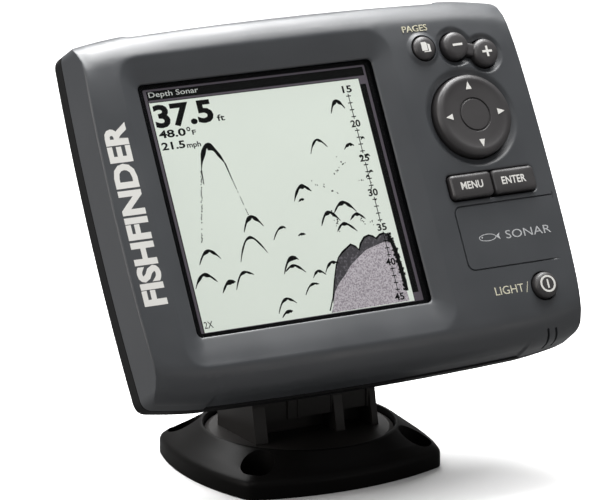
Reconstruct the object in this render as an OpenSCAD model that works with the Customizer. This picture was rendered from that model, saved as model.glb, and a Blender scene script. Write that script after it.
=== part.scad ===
// Fish finder: a display unit on a swivel base with a ratchet tilt head.
// Millimetres, +Z up, origin at the centre of the base's underside, unit facing -Y.

/* [Display case] */
// Width of the case at the parting line
case_w = 175; // [173:0.5:177]
// Height of the case
case_h = 131; // [130:0.5:132]
// Depth of the front shell, from its face to the parting line
front_d = 16; // [15.5:0.25:16.5]
// Depth of the straight rim of the rear shell, behind the parting line
rim_d = 6; // [5:0.5:7]
// Wall thickness of both shells
wall = 3; // [2.5:0.25:3]
// Radius that rolls the face into the top and the bottom
roll_r = 12.3; // [11:0.1:13]
// Backward lean of the unit as it stands
tilt = 28.6; // [24:0.2:32]

/* [Screen] */
// Width of the window opening
window_w = 93.3; // [92:0.1:94]
// Height of the window opening
window_h = 90.3; // [89:0.1:91]
// Sideways place of the window from the middle of the case
window_x = -19.4; // [-20:0.1:-19]
// Height of the window's middle over the middle of the case
window_y = 0.6; // [0:0.1:1]
// Depth of the sloping band around the window
band_d = 2.8; // [2:0.1:3]
// Width of the liquid crystal panel
lcd_w = 95; // [94:0.5:96]
// Height of the liquid crystal panel
lcd_h = 92; // [91:0.5:93]

/* [Keys] */
// Radius of a round key's cap
key_r = 5.1; // [4.5:0.1:5.3]
// Gap between a key and its hole in the case
key_gap = 0.5; // [0.4:0.05:0.6]
// Height of a round key over the face
key_h = 2.2; // [1.5:0.1:3]
// Radius of the arrow pad
pad_r = 15.2; // [14.5:0.1:15.4]
// Height of the arrow pad over the face
pad_h = 3; // [2:0.1:3.5]
// Width of the pair of text keys
text_keys_w = 35.2; // [33:0.2:36]
// Height of the pair of text keys
text_keys_h = 8.8; // [8:0.2:9]

/* [Bracket] */
// Height of the tilt axis over the mounting surface
pivot_z = 37; // [36.5:0.25:38]
// Radius of the steel tilt pin
pin_r = 2.5; // [2:0.1:2.75]
// Radius of the barrel around the tilt pin
barrel_r = 9.5; // [9:0.1:9.8]
// Width of the bracket column and its barrel
column_w = 50.6; // [49:0.2:51]
// Travel of the ratchet release button
release_travel = 3; // [2:0.5:3]

/* [Base] */
// Half width of the base at the middle of its bowed sides
base_x = 45.9; // [45:0.1:47]
// Half depth of the base at the middle of its bowed front and back
base_y = 41.5; // [41:0.1:42]
// Height of the base at the rim of its well
base_h = 14.3; // [14:0.1:15]
// Height of the base's side wall
side_h = 6.1; // [5:0.1:7]
// Radius of the turntable
disc_r = 34.2; // [33:0.1:34.4]
// Distance between mounting holes, sideways
hole_dx = 64.6; // [63:0.1:65]
// Distance between mounting holes, front to back
hole_dy = 54.4; // [53:0.1:55]
// Radius of a mounting hole
hole_r = 2.4; // [2.1:0.1:2.6]

/* [Hidden] */
$fn = 64;

// Play between a pin and its bore, and small distances that keep faces apart
play = 0.05;
eps = 0.01;
skin = 0.3;

// The tilt axis: world position, and position in the unit's own frame.
// The unit's frame has X to the right, Y up the face and Z out of the face,
// with its zero on the face at the middle of the window's height.
pivot_y = 1;
pivot_v = -47.2;
pivot_w = -58.7;

// Case outline: a bowed side, a small corner and a sloping shoulder
side_bow = 1.3;
corner_r = 6;
corner_y = 56.2;
shoulder_x = 66;
shoulder_a = 78;
// Rear housing: sloping back, then a hump that carries the socket and the lugs
back_w = 132;
back_h = 92;
back_y = 4;
back_z = -40;
hump_w = 92;
hump_top = 38;
hump_bottom = -34;
hump_z = -61;
lug_t = 6;
lug_x = column_w / 2 + 0.6;
lug_r = 8;
lug_root = -44;
// Screws that close the case, and the shoulder their heads seat on
case_screw_at = [[-78.2, 54.2], [78.2, 54.2], [-78.2, -54.2], [78.2, -54.2], [-21, 57.4], [-21, -57.4]];
post_r = 3.2;
screw_r = 1.5;
seat_z = -21;
// Recesses for a snap-on sun cover along the top and bottom edges
cover_recess_x = 63;
cover_recess_d = 0.8;
// Fine groove that frames the label panel on three sides, running off the right edge
label_at = [73.1, -24.6];
label_w = 60;
label_h = 24;
label_groove_w = 0.6;
// Drain slits in the lower edge
drain_x = [72.3, 76.2];
drain_w = 1.6;

// Outer size of the sloping band, and the depths of the display stack behind the face
band_w = 107.9;
band_h = 111.6;
lip_z = -3.3;
seal_t = 0.2;
lens_z = lip_z - seal_t;
lens_t = 1;
lcd_z = lens_z - lens_t - 0.1;
lcd_t = 2.2;
light_t = 3;
frame_t = 1.6;
// Main board
board_z = -22.8;
board_t = 1.6;
board_w = 138;
board_h = 92;
board_hole_at = [[-64, 40], [64, 40], [-64, -40], [64, -40]];
// Keypad: board, silicone mat and the domes under the keys
pad_board_z = -11.4;
pad_board_t = 1.4;
pad_board_x = 58.5;
pad_board_w = 37;
pad_board_h = 101;
mat_t = 1.2;
dome_h = 1.4;
dome_r = 4.4;
flange_z = -wall - skin;
flange_t = 1.1;
plunger_r = 2;
key_travel = 0.9;
plunger_end = pad_board_z + mat_t + key_travel + 0.3;
pages_at = [46.9, 46.1];
minus_at = [60.6, 45.7];
plus_at = [72.1, 42];
pad_at = [60.3, 19.3];
text_keys_at = [61.3, -5.9];
power_at = [71.9, -45.4];
key_split = 61;
zoom_mid = (minus_at + plus_at) / 2;
zoom_half = norm(plus_at - minus_at) / 2;
zoom_angle = atan2(plus_at[1] - minus_at[1], plus_at[0] - minus_at[0]);
arrow_dome_r = 10.8;
// Web between the caps of the zoom key, and the space left beside it for the pin's bearings
web_half = 2.3;
notch_y = web_half - 0.1;
// Rocking axes of the zoom key and of the arrow pad
zoom_pin_z = -4.2;
zoom_pin_r = 1;
zoom_pin_l = 9.6;
notch_l = zoom_pin_l / 2 + 0.5 - notch_y;
bearing_y = 3.1;
bearing_w = 3.2;
bearing_mouth = 1.7;
gimbal_z = -3.8;
gimbal_r = 1;
gimbal_l = 10.4;
gimbal_lug_t = 1.5;
// Fine ring groove in the arrow pad
ring_r = 6;
ring_w = 0.5;
// Rear cable socket
socket_at = [20, 10];
collar_r = 8.5;
collar_in = 6.9;
collar_l = 11;
contact_ring_r = 4.7;
contact_r = 0.7;
contacts = 5;
// Base: counterbores for the mounting screws, and the pocket for the swivel washer
counterbore_r = 6.1;
counterbore_z = 3.6;
washer_pocket_r = 13;
washer_pocket_d = 2.2;
// Turntable, column and ratchet
well_r = disc_r + 0.5;
well_z = 4.4;
disc_top = 12.6;
stem_r = 8;
column_front = -10.8;
column_back = 15;
head_z = 19.3;
rib_w = 3.6;
slot_w = 12;
ratchet_w = 9;
ratchet_r = 12;
ratchet_hub_r = 5;
ratchet_half_a = 45;
web_t = 8;
tooth_pitch = 7.5;
tooth_w = 1.1;
button_w = 13.6;
button_t = 5;
button_top = 31;
pawl_w = 8;
pawl_t = 4.6;
pawl_top = 39.4;
pawl_y = pivot_y + ratchet_r + 0.5;
stem_t = 3.6;
// Wall across the bracket that the release spring pushes against
bridge_y = column_front + button_t + release_travel + 0.4;
bridge_t = 2.9;
spring_z = 27.4;
spring_r = 2.3;
spring_wire = 0.35;
spring_l = 3.4;
spring_turns = 3;
stop_r = 26;
stop_a = 90;

// ---------- outlines ----------

function arc(cx, cy, r, a0, a1, n = 8) =
    [for (i = [0:n]) let (a = a0 + (a1 - a0) * i / n) [cx + r * cos(a), cy + r * sin(a)]];

// Rounded rectangle about the origin
function round_rect(w, h, r, n = 6) = let (x = w / 2 - r, y = h / 2 - r)
    concat(arc(x, y, r, 0, 90, n), arc(-x, y, r, 90, 180, n),
           arc(-x, -y, r, 180, 270, n), arc(x, -y, r, 270, 360, n));

// One quarter of the case outline, from the side to the top
function case_quarter(inset) =
    let (side = case_w / 2 - inset, cx = case_w / 2 - side_bow - corner_r, steps = 4)
    concat([for (i = [0:steps - 1]) let (t = i / steps) [side - side_bow * t * t, corner_y * t]],
           arc(cx, corner_y, corner_r - inset, 0, shoulder_a, 6),
           [[shoulder_x, case_h / 2 - inset]]);

function case_outline(inset = 0) = let (q = case_quarter(inset), n = len(q))
    concat(q, [for (i = [n - 1:-1:0]) [-q[i][0], q[i][1]]],
           [for (i = [1:n - 1]) [-q[i][0], -q[i][1]]],
           [for (i = [n - 1:-1:1]) [q[i][0], -q[i][1]]]);

// Side view of the front shell: Y along the face, Z out of it
function roll_profile(inset) = let (y = case_h / 2 - roll_r, r = roll_r - inset)
    concat([[-y - r, -front_d - 1]], arc(-y, -roll_r, r, 180, 90, 10),
           arc(y, -roll_r, r, 90, 0, 10), [[y + r, -front_d - 1]]);

// Half width and half depth arcs of the base, cut from four large circles
function bow_r(half, side, chord) = (pow(side - half, 2) + chord * chord) / (2 * (side - half));

// ---------- shared shapes ----------

// Puts a shape that is drawn in the unit's frame where the unit stands
module unit_place() {
    translate([0, pivot_y, pivot_z]) rotate([90 - tilt, 0, 0])
        translate([0, -pivot_v, -pivot_w]) children();
}

module prism(points, z0, z1) {
    translate([0, 0, z0]) linear_extrude(z1 - z0) polygon(points);
}

// Plate with rounded corners, centred at (x, y), between two heights
module plate(x, y, w, h, r, z0, z1) {
    translate([x, y, 0]) prism(round_rect(w, h, r), z0, z1);
}

// Extrudes a profile given as (Y, Z) points along X
module along_x(x0, x1) {
    translate([x0, 0, 0]) rotate([90, 0, 90]) linear_extrude(x1 - x0) children();
}

module rod_x(x0, x1, y, z, r) {
    translate([x0, y, z]) rotate([0, 90, 0]) cylinder(h = x1 - x0, r = r);
}

module post(at, z0, z1, r) {
    translate([at[0], at[1], z0]) cylinder(h = z1 - z0, r = r);
}

module front_solid(inset) {
    intersection() {
        prism(case_outline(inset), -front_d - 1, -inset);
        along_x(-case_w, case_w) polygon(roll_profile(inset));
    }
}

// ---------- base ----------

module base_outline(scale_by, z0, z1) {
    corner = [39.5, 33.8];
    rx = bow_r(corner[0], base_x, corner[1]);
    ry = bow_r(corner[1], base_y, corner[0]);
    translate([0, 0, z0]) linear_extrude(z1 - z0) scale([scale_by, scale_by]) intersection() {
        translate([base_x - rx, 0]) circle(r = rx, $fn = 240);
        translate([rx - base_x, 0]) circle(r = rx, $fn = 240);
        translate([0, base_y - ry]) circle(r = ry, $fn = 240);
        translate([0, ry - base_y]) circle(r = ry, $fn = 240);
        circle(r = 51.5, $fn = 120);
    }
}

module base_plate() color([0.1, 0.1, 0.1]) difference() {
    hull() {
        base_outline(1, 0, side_h);
        base_outline(0.93, side_h + 2.6, side_h + 2.7);
        translate([0, 0, base_h - 0.5]) cylinder(h = 0.5, r = well_r + 0.9, $fn = 96);
    }
    translate([0, 0, well_z]) cylinder(h = base_h, r = well_r);
    translate([0, 0, -1]) cylinder(h = base_h, r = stem_r + play);
    translate([0, 0, -1]) cylinder(h = washer_pocket_d + 1, r = washer_pocket_r);
    for (x = [-1, 1], y = [-1, 1]) translate([x * hole_dx / 2, y * hole_dy / 2, 0]) {
        translate([0, 0, -1]) cylinder(h = base_h, r = hole_r);
        translate([0, 0, counterbore_z]) cylinder(h = base_h, r = counterbore_r);
    }
    // Arc that the turntable's stop runs in
    translate([0, 0, well_z - 1.6]) rotate([0, 0, -90 - stop_a - 6])
        rotate_extrude(angle = 2 * stop_a + 12) translate([stop_r - 2, 0]) square([4, 3]);
}

// ---------- swivel bracket ----------

// A rib down to the turntable, with its front edge leaning forward
module rib(x0, x1) {
    along_x(x0, x1) polygon([[column_front - 3, disc_top - 1], [column_front, head_z + 6],
                             [0, head_z + 6], [0, disc_top - 1]]);
}

// Room for the release button, its stem, the pawl and the ratchet
module release_cutouts() {
    z0 = head_z - 1;
    slot_y = bridge_y + bridge_t;
    translate([-button_w / 2 - skin, column_front - 1, z0])
        cube([button_w + 2 * skin, bridge_y - column_front + 1, button_top + 0.6 - z0]);
    translate([-pawl_w / 2 - 0.4, column_front, z0]) cube([pawl_w + 0.8, 60, stem_t + 1.5]);
    translate([-slot_w / 2, slot_y, z0]) cube([slot_w, 60, 60]);
    translate([-slot_w / 2, -30, button_top + 0.6]) cube([slot_w, 60, 60]);
}

module swivel_bracket() color([0.13, 0.13, 0.14]) difference() {
    union() {
        translate([0, 0, well_z + skin]) cylinder(h = disc_top - well_z - skin - 0.8, r = disc_r);
        translate([0, 0, disc_top - 0.8]) cylinder(h = 0.8, r1 = disc_r, r2 = disc_r - 1.6);
        translate([0, 0, 2.6]) cylinder(h = 6, r = stem_r);
        // Waist, head block and barrel
        translate([-column_w / 2, -3, disc_top - 1]) cube([column_w, column_back + 3, 16]);
        translate([-column_w / 2, column_front, head_z])
            cube([column_w, column_back - column_front, pivot_z - head_z - 4]);
        rod_x(-column_w / 2, column_w / 2, pivot_y, pivot_z, barrel_r);
        rib(-column_w / 2, -column_w / 2 + 5);
        rib(button_w / 2 + 1, button_w / 2 + 1 + rib_w);
        rib(column_w / 2 - 2.4, column_w / 2);
        // Stop under the turntable
        translate([0, -stop_r, well_z - 1.2]) cylinder(h = 3, r = 1.6);
    }
    rod_x(-column_w, column_w, pivot_y, pivot_z, pin_r + play);
    // Shallow panels in the front of the head block
    translate([-column_w / 2 + 5, column_front - 1, head_z - 1]) cube([9.6, 1.7, 20]);
    translate([button_w / 2 + 1 + rib_w, column_front - 1, head_z - 1]) cube([10.5, 1.7, 20]);
    release_cutouts();
    translate([0, 0, 2]) cylinder(h = 9, r = 2.1);
    // Two hollows in the back of the column
    for (x = [-17.5, 10.5]) translate([x, 4, disc_top + 2]) cube([7, 20, 18]);
}

module swivel_washer() color("silver") difference() {
    translate([0, 0, 1.2]) cylinder(h = 1.0, r = 11.5);
    translate([0, 0, 1]) cylinder(h = 2, r = 2.3);
}

module swivel_screw() color("silver") {
    difference() {
        translate([0, 0, 0.3]) cylinder(h = 0.9, r = 4);
        translate([-2.8, -0.5, 0.2]) cube([5.6, 1, 0.6]);
    }
    translate([0, 0, 1.2]) cylinder(h = 9.2, r = 2);
}

// Helical spring between the bracket's bridge and the release button
function helix_ring(a, sides) = [for (s = [0:sides - 1]) let (b = 360 * s / sides,
    r = spring_r + spring_wire * cos(b))
    [r * cos(a), spring_wire * sin(b) + spring_l * a / (360 * spring_turns), r * sin(a)]];

module release_spring() color("silver") {
    sides = 6;
    steps = 42;
    points = [for (i = [0:steps]) each helix_ring(360 * spring_turns * i / steps, sides)];
    walls = [for (i = [0:steps - 1], s = [0:sides - 1]) let (t = (s + 1) % sides)
        [i * sides + s, i * sides + t, (i + 1) * sides + t, (i + 1) * sides + s]];
    ends = [[for (s = [sides - 1:-1:0]) s], [for (s = [0:sides - 1]) steps * sides + s]];
    translate([0, bridge_y - spring_l - spring_wire - 0.05, spring_z])
        polyhedron(points, concat(walls, ends));
}

// Push plate with a stem that runs back under the tilt axis
module release_button() color([0.16, 0.16, 0.17]) difference() {
    union() {
        translate([-button_w / 2, column_front, head_z]) cube([button_w, button_t, button_top - head_z]);
        translate([-pawl_w / 2, column_front + 1, head_z])
            cube([pawl_w, pawl_y + pawl_t - 1 - column_front - 1, stem_t]);
    }
    // Pocket that the spring enters
    translate([0, column_front + 1, spring_z]) rotate([-90, 0, 0]) cylinder(h = 10, r = 3);
}

// Upright on the end of the stem, with three ridges that face the ratchet
module release_pawl() color([0.16, 0.16, 0.17]) difference() {
    union() {
        translate([-pawl_w / 2 - 1, pawl_y, head_z - 0.5]) cube([pawl_w + 2, pawl_t, stem_t + 2]);
        translate([-pawl_w / 2, pawl_y, head_z]) cube([pawl_w, pawl_t, pawl_top - head_z]);
        for (i = [-1:1]) translate([0, pawl_y, pivot_z + 1.57 * i]) rotate([45, 0, 0])
            cube([pawl_w, 0.3, 0.3], center = true);
    }
    translate([-pawl_w / 2 - play, pawl_y - 1, head_z - play])
        cube([pawl_w + 2 * play, pawl_t + play, stem_t + 2 * play]);
}

// ---------- display unit: shells ----------

// The zoom key's own frame: X along the pair of caps, Y along its pin
module zoom_place() {
    translate([zoom_mid[0], zoom_mid[1], 0]) rotate([0, 0, zoom_angle]) children();
}

module zoom_pin(r) {
    translate([0, zoom_pin_l / 2, zoom_pin_z]) rotate([90, 0, 0]) cylinder(h = zoom_pin_l, r = r);
}

module key_holes() {
    g = key_gap;
    post(pages_at, -10, 4, key_r + g);
    post(minus_at, -10, 4, key_r + g);
    post(plus_at, -10, 4, key_r + g);
    zoom_place() translate([-zoom_half, -web_half - g, -10])
        cube([2 * zoom_half, 2 * (web_half + g), 14]);
    post(pad_at, -10, 4, pad_r + g);
    plate(text_keys_at[0], text_keys_at[1], text_keys_w + 2 * g, text_keys_h + 2 * g, 2, -10, 4);
    post(power_at, -10, 4, key_r + g);
}

// Dished surrounds that the round keys sit in
module key_dishes() {
    for (at = [pages_at, minus_at, plus_at, power_at]) translate([at[0], at[1], -0.9])
        cylinder(h = 1.2, r1 = key_r + 0.9, r2 = key_r + 2.2);
    translate([pad_at[0], pad_at[1], -1.2]) cylinder(h = 1.5, r1 = pad_r + 0.8, r2 = pad_r + 3.1);
}

// Cuts the recesses along the top and bottom edges, between two heights
module cover_recesses(z0, z1) {
    for (side = [-1, 1])
        translate([-cover_recess_x, side * (case_h / 2 - cover_recess_d + 5) - 5, z0])
            cube([2 * cover_recess_x, 10, z1 - z0]);
}

module front_case() color([0.28, 0.3, 0.32]) difference() {
    union() {
        difference() {
            front_solid(0);
            front_solid(wall);
            translate([0, 0, -front_d - 5]) cube([2 * case_w, 2 * case_h, 10], center = true);
        }
        // Thicker rim behind the window, and screw posts
        intersection() {
            front_solid(1);
            union() {
                plate(window_x, window_y, window_w + 18, window_h + 20, 8, lip_z, -2);
                for (at = case_screw_at) post(at, -front_d, -2, post_r);
                zoom_place() for (y = [bearing_y, -zoom_pin_l / 2])
                    translate([-bearing_w / 2, y, zoom_pin_z - 1.4])
                        cube([bearing_w, zoom_pin_l / 2 - bearing_y, 3]);
            }
        }
    }
    // Snap-in bearings for the zoom key's pin
    zoom_place() {
        zoom_pin(zoom_pin_r + play);
        translate([-bearing_mouth / 2, -zoom_pin_l, zoom_pin_z - 3])
            cube([bearing_mouth, 2 * zoom_pin_l, 3]);
    }
    // Sloping band around the window
    hull() {
        plate(window_x, window_y - 0.7, band_w, band_h, 8.8, 0.05, 1);
        plate(window_x, window_y, window_w, window_h, 2, -band_d, -band_d + 0.1);
    }
    plate(window_x, window_y, window_w, window_h, 2, -10, 1);
    key_holes();
    key_dishes();
    for (at = case_screw_at) post(at, -front_d - 1, -6, screw_r + play);
    cover_recesses(-front_d - 1, 1);
    // Groove around the label panel
    difference() {
        plate(label_at[0], label_at[1], label_w, label_h, 3, -0.5, 1);
        plate(label_at[0], label_at[1], label_w - 2 * label_groove_w, label_h - 2 * label_groove_w,
              3 - label_groove_w, -0.6, 2);
    }
    // Drain slits
    for (x = drain_x) translate([x - drain_w / 2, -case_h / 2 - 1, -13]) cube([drain_w, 4.6, 11]);
}

module rear_outer(inset) {
    z = inset == 0 ? 0 : 1;
    prism(case_outline(inset), -front_d - rim_d - eps, -front_d + z);
    hull() {
        prism(case_outline(inset), -front_d - rim_d - 0.1, -front_d - rim_d);
        plate(0, back_y, back_w - 2 * inset, back_h - 2 * inset, 14, back_z + inset, back_z + inset + 0.1);
    }
    hull() {
        plate(0, (hump_top + hump_bottom) / 2, hump_w - 2 * inset, hump_top - hump_bottom - 2 * inset,
              10 - inset, back_z + inset, back_z + inset + 0.1);
        plate(0, (hump_top + hump_bottom) / 2, hump_w - 4 - 2 * inset,
              hump_top - hump_bottom - 2 * inset, 10 - inset, hump_z + inset, hump_z + inset + 0.1);
    }
}

// The two outer lugs that hang on the tilt pin
module lugs() {
    for (x0 = [-lug_x - lug_t, lug_x]) along_x(x0, x0 + lug_t) {
        translate([pivot_v, pivot_w]) circle(r = lug_r);
        polygon([[pivot_v, pivot_w - lug_r], [hump_bottom + 1, hump_z + 0.5],
                 [hump_bottom + 1, lug_root], [pivot_v, pivot_w + lug_r]]);
    }
}

module rear_case() color([0.2, 0.2, 0.2]) difference() {
    union() {
        difference() {
            rear_outer(0);
            difference() {
                rear_outer(wall);
                for (at = case_screw_at) post(at, back_z, -front_d, post_r);
                for (at = board_hole_at) post(at, hump_z, board_z - board_t, 3.2);
            }
            translate([0, 0, -front_d + 5]) cube([2 * case_w, 2 * case_h, 10], center = true);
        }
        lugs();
    }
    rod_x(-case_w, case_w, pivot_v, pivot_w, pin_r + 0.02);
    for (at = case_screw_at) {
        post(at, back_z - 5, 0, screw_r + 0.2);
        post(at, back_z - 5, seat_z, 3.1);
    }
    for (at = board_hole_at) post(at, board_z - board_t - 7, 0, 1.3);
    post(socket_at, hump_z - 5, hump_z + 10, 7.6);
    cover_recesses(-front_d - 2, -front_d + 2);
}

module case_seal() color([0.08, 0.08, 0.08]) difference() {
    prism(case_outline(wall + 0.1), -front_d - 0.9, -front_d + 0.9);
    prism(case_outline(wall + 1.3), -front_d - 2, -front_d + 2);
}

module case_screws() color("silver") for (at = case_screw_at) difference() {
    union() {
        post(at, -24, seat_z, 2.8);
        post(at, seat_z - eps, -7, screw_r);
    }
    for (a = [0, 90]) translate([at[0], at[1], -24]) rotate([0, 0, a])
        cube([3.4, 0.8, 2], center = true);
}

// ---------- tilt pin and ratchet ----------

module tilt_pin() color("silver") {
    rod_x(-lug_x - lug_t - 1.6, lug_x + lug_t + 3, pivot_v, pivot_w, pin_r);
    rod_x(-lug_x - lug_t - 2, -lug_x - lug_t - 0.05, pivot_v, pivot_w, 4.2);
}

module pin_clip() color("silver") difference() {
    rod_x(lug_x + lug_t + 0.1, lug_x + lug_t + 0.9, pivot_v, pivot_w, 4.2);
    rod_x(lug_x, lug_x + 20, pivot_v, pivot_w, pin_r + 0.02);
    translate([lug_x, pivot_v - 1.6, pivot_w - 8]) cube([20, 3.2, 8]);
}

// Toothed middle lug, fixed under the hump by its root
module tilt_ratchet() color([0.15, 0.15, 0.15]) difference() {
    rear_a = 270 + tilt;
    along_x(-ratchet_w / 2, ratchet_w / 2) difference() {
        union() {
            translate([pivot_v, pivot_w]) circle(r = ratchet_hub_r);
            polygon(concat([[pivot_v, pivot_w]],
                arc(pivot_v, pivot_w, ratchet_r, rear_a - ratchet_half_a, rear_a + ratchet_half_a, 18)));
            translate([pivot_v, pivot_w - 2.2]) square([hump_bottom - pivot_v, web_t]);
        }
        for (i = [-5:5]) let (a = rear_a + i * tooth_pitch)
            translate([pivot_v + ratchet_r * cos(a), pivot_w + ratchet_r * sin(a)])
                rotate(a + 45) square(tooth_w, center = true);
    }
    rod_x(-20, 20, pivot_v, pivot_w, pin_r + 0.02);
}

// ---------- display stack ----------

module window_lens() color([0.1, 0.12, 0.12, 0.4])
    plate(window_x, window_y, window_w + 7, window_h + 7, 3, lens_z - lens_t, lens_z);

module window_seal() color([0.08, 0.08, 0.08]) difference() {
    plate(window_x, window_y, window_w + 7, window_h + 7, 3, lens_z, lens_z + seal_t);
    plate(window_x, window_y, window_w + 2, window_h + 2, 2, lens_z - 1, lens_z + 1);
}

module lcd_panel() color([0.8, 0.83, 0.8])
    plate(window_x, window_y, lcd_w, lcd_h, 0.8, lcd_z - lcd_t, lcd_z);

module backlight() color("white")
    plate(window_x, window_y, lcd_w, lcd_h, 0.8, lcd_z - lcd_t - light_t - 0.2, lcd_z - lcd_t - 0.2);

module lcd_frame() color("silver") difference() {
    plate(window_x, window_y, lcd_w + 4, lcd_h + 4, 2, lcd_z - lcd_t - light_t - frame_t, lcd_z - 0.1);
    plate(window_x, window_y, lcd_w + 0.4, lcd_h + 0.4, 1, lcd_z - lcd_t - light_t - 0.3, lcd_z + 1);
    plate(window_x, window_y, lcd_w - 30, lcd_h - 30, 4, -30, 0);
}

// Flat ribbon: a strip drawn by its (Y, Z) outline
module ribbon(x0, x1, outer) color([0.8, 0.5, 0.2]) along_x(x0, x1) polygon(outer);

module lcd_ribbon() {
    y = -lcd_h / 2 - 2.3;
    z0 = lcd_z - 2;
    ribbon(window_x - 15, window_x + 15, [[y, z0], [y - 2.4, z0], [y - 2.4, board_z + 0.6],
        [y + 6, board_z + 0.6], [y + 6, board_z + 0.1], [y - 2.9, board_z + 0.1],
        [y - 2.9, z0 + 0.5], [y, z0 + 0.5]]);
}

// ---------- electronics ----------

module main_board() color([0.05, 0.3, 0.15]) difference() {
    plate(0, 0, board_w, board_h, 3, board_z - board_t, board_z);
    for (at = board_hole_at) post(at, -40, 0, 1.7);
}

module board_screws() color("silver") for (at = board_hole_at) {
    post(at, board_z + 0.05, board_z + 1.8, 2.6);
    post(at, board_z - 7.5, board_z + 0.1, 1.25);
}

module processor_chips() color([0.06, 0.06, 0.06]) {
    plate(-30, 18, 20, 20, 0.5, board_z + 0.05, board_z + 1.5);
    plate(-2, 20, 14, 10, 0.5, board_z + 0.05, board_z + 1.2);
    plate(-2, 4, 14, 10, 0.5, board_z + 0.05, board_z + 1.2);
    plate(-40, -14, 9, 7, 0.5, board_z + 0.05, board_z + 1.4);
}

module shield_can() color("silver")
    plate(-20, 8, 40, 34, 1, board_z - board_t - 7, board_z - board_t - 0.05);

module sonar_transformer() color([0.25, 0.2, 0.12]) {
    z = board_z - board_t;
    at = [-24, -19.5];
    post(at, z - 3, z - 0.05, 9.5);
    post(at, z - 9, z - 2.9, 6);
    post(at, z - 12, z - 8.9, 9.5);
}

module capacitors() color([0.12, 0.15, 0.3]) for (i = [0:2])
    post([16 + 9 * i, -22], board_z - board_t - 11, board_z - board_t - 0.05, 3.8);

module sounder() color([0.08, 0.08, 0.08]) difference() {
    post([56, -30], board_z + 0.05, board_z + 5, 6.5);
    post([56, -30], board_z + 4, board_z + 6, 1.2);
}

// ---------- keypad ----------

dome_at = concat([pages_at, minus_at, plus_at, power_at,
                  [key_split - 9, text_keys_at[1]], [key_split + 9, text_keys_at[1]]],
                 [for (a = [0:90:270]) pad_at + arrow_dome_r * [cos(a), sin(a)]]);

module keypad_board() color([0.05, 0.3, 0.15])
    plate(pad_board_x, 0.3, pad_board_w, pad_board_h, 2, pad_board_z - pad_board_t, pad_board_z);

module keypad_mat() color([0.3, 0.3, 0.32]) {
    plate(pad_board_x, 0.3, pad_board_w, pad_board_h, 2, pad_board_z + 0.05, pad_board_z + mat_t);
    for (at = dome_at) difference() {
        post(at, pad_board_z + mat_t - eps, pad_board_z + mat_t + dome_h, dome_r);
        post(at, pad_board_z + mat_t - 1, pad_board_z + mat_t + dome_h + 1, dome_r - 1.2);
    }
}

module keypad_ribbon()
    ribbon(44, 54, [[-46, pad_board_z - pad_board_t - 0.05], [-44, pad_board_z - pad_board_t - 0.05],
        [-44, board_z + 0.1], [-44.6, board_z + 0.1], [-44.6, pad_board_z - pad_board_t - 0.6],
        [-46, pad_board_z - pad_board_t - 0.6]]);

// Cap with a crowned top, flange under the case wall and plunger over a dome
module round_key(at, height) {
    crown = 0.5;
    translate([at[0], at[1], 0]) {
        translate([0, 0, flange_z]) cylinder(h = height - crown - flange_z, r = key_r);
        translate([0, 0, height - crown]) cylinder(h = crown, r1 = key_r, r2 = key_r - 0.9);
    }
    post(at, flange_z - flange_t, flange_z, key_r + 1.3);
    post(at, plunger_end, flange_z, plunger_r);
}

module pages_key() color([0.22, 0.21, 0.22]) round_key(pages_at, key_h);

module power_key() color([0.22, 0.21, 0.22]) round_key(power_at, key_h + 0.4);

// Two caps joined by a web: one piece that rocks on a cross pin
module zoom_key() color([0.22, 0.21, 0.22]) {
    low = flange_z - 0.9;
    difference() {
        union() for (at = [minus_at, plus_at]) {
            post(at, low, key_h - 0.5, key_r);
            translate([at[0], at[1], key_h - 0.5]) cylinder(h = 0.5, r1 = key_r, r2 = key_r - 0.9);
            post(at, low - flange_t, low, key_r + 0.8);
            post(at, plunger_end + 0.3, low - 0.5, plunger_r);
        }
        // The flanges stop short of the pin's bearings
        zoom_place() for (y = [notch_y, -notch_y - notch_l]) translate([-2, y, low - 3])
            cube([4, notch_l, 4.2]);
    }
    zoom_place() {
        translate([-zoom_half, -web_half, low - 0.8]) cube([2 * zoom_half, 2 * web_half, 5.7]);
        zoom_pin(zoom_pin_r);
    }
}

module text_key(x0, x1) color([0.22, 0.21, 0.22]) {
    mid = (x0 + x1) / 2;
    dome_x = mid < key_split ? key_split - 9 : key_split + 9;
    plate(mid, text_keys_at[1], x1 - x0, text_keys_h, 1.5, flange_z, 2);
    plate(mid, text_keys_at[1], x1 - x0 - 0.2, text_keys_h + 2, 1.5, flange_z - flange_t, flange_z + eps);
    post([dome_x, text_keys_at[1]], plunger_end, flange_z, plunger_r);
}

module menu_key() text_key(text_keys_at[0] - text_keys_w / 2, key_split - 0.2);

module enter_key() text_key(key_split + 0.2, text_keys_at[0] + text_keys_w / 2);

module rod_y(y0, y1, z, r) {
    translate([0, y1, z]) rotate([90, 0, 0]) cylinder(h = y1 - y0, r = r);
}

// Yoke on the keypad that carries the cross of the arrow pad
module arrow_yoke() color([0.5, 0.5, 0.52]) translate([pad_at[0], pad_at[1], 0]) difference() {
    union() {
        translate([0, 0, pad_board_z + mat_t + 0.05]) cylinder(h = 1.2, r = 5.6);
        for (x = [-gimbal_l / 2, gimbal_l / 2 - gimbal_lug_t])
            translate([x, -1.7, pad_board_z + mat_t + 0.5])
                cube([gimbal_lug_t, 3.4, gimbal_z + 1.8 - pad_board_z - mat_t - 0.5]);
    }
    rod_x(-gimbal_l, gimbal_l, 0, gimbal_z, gimbal_r + play);
}

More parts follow.
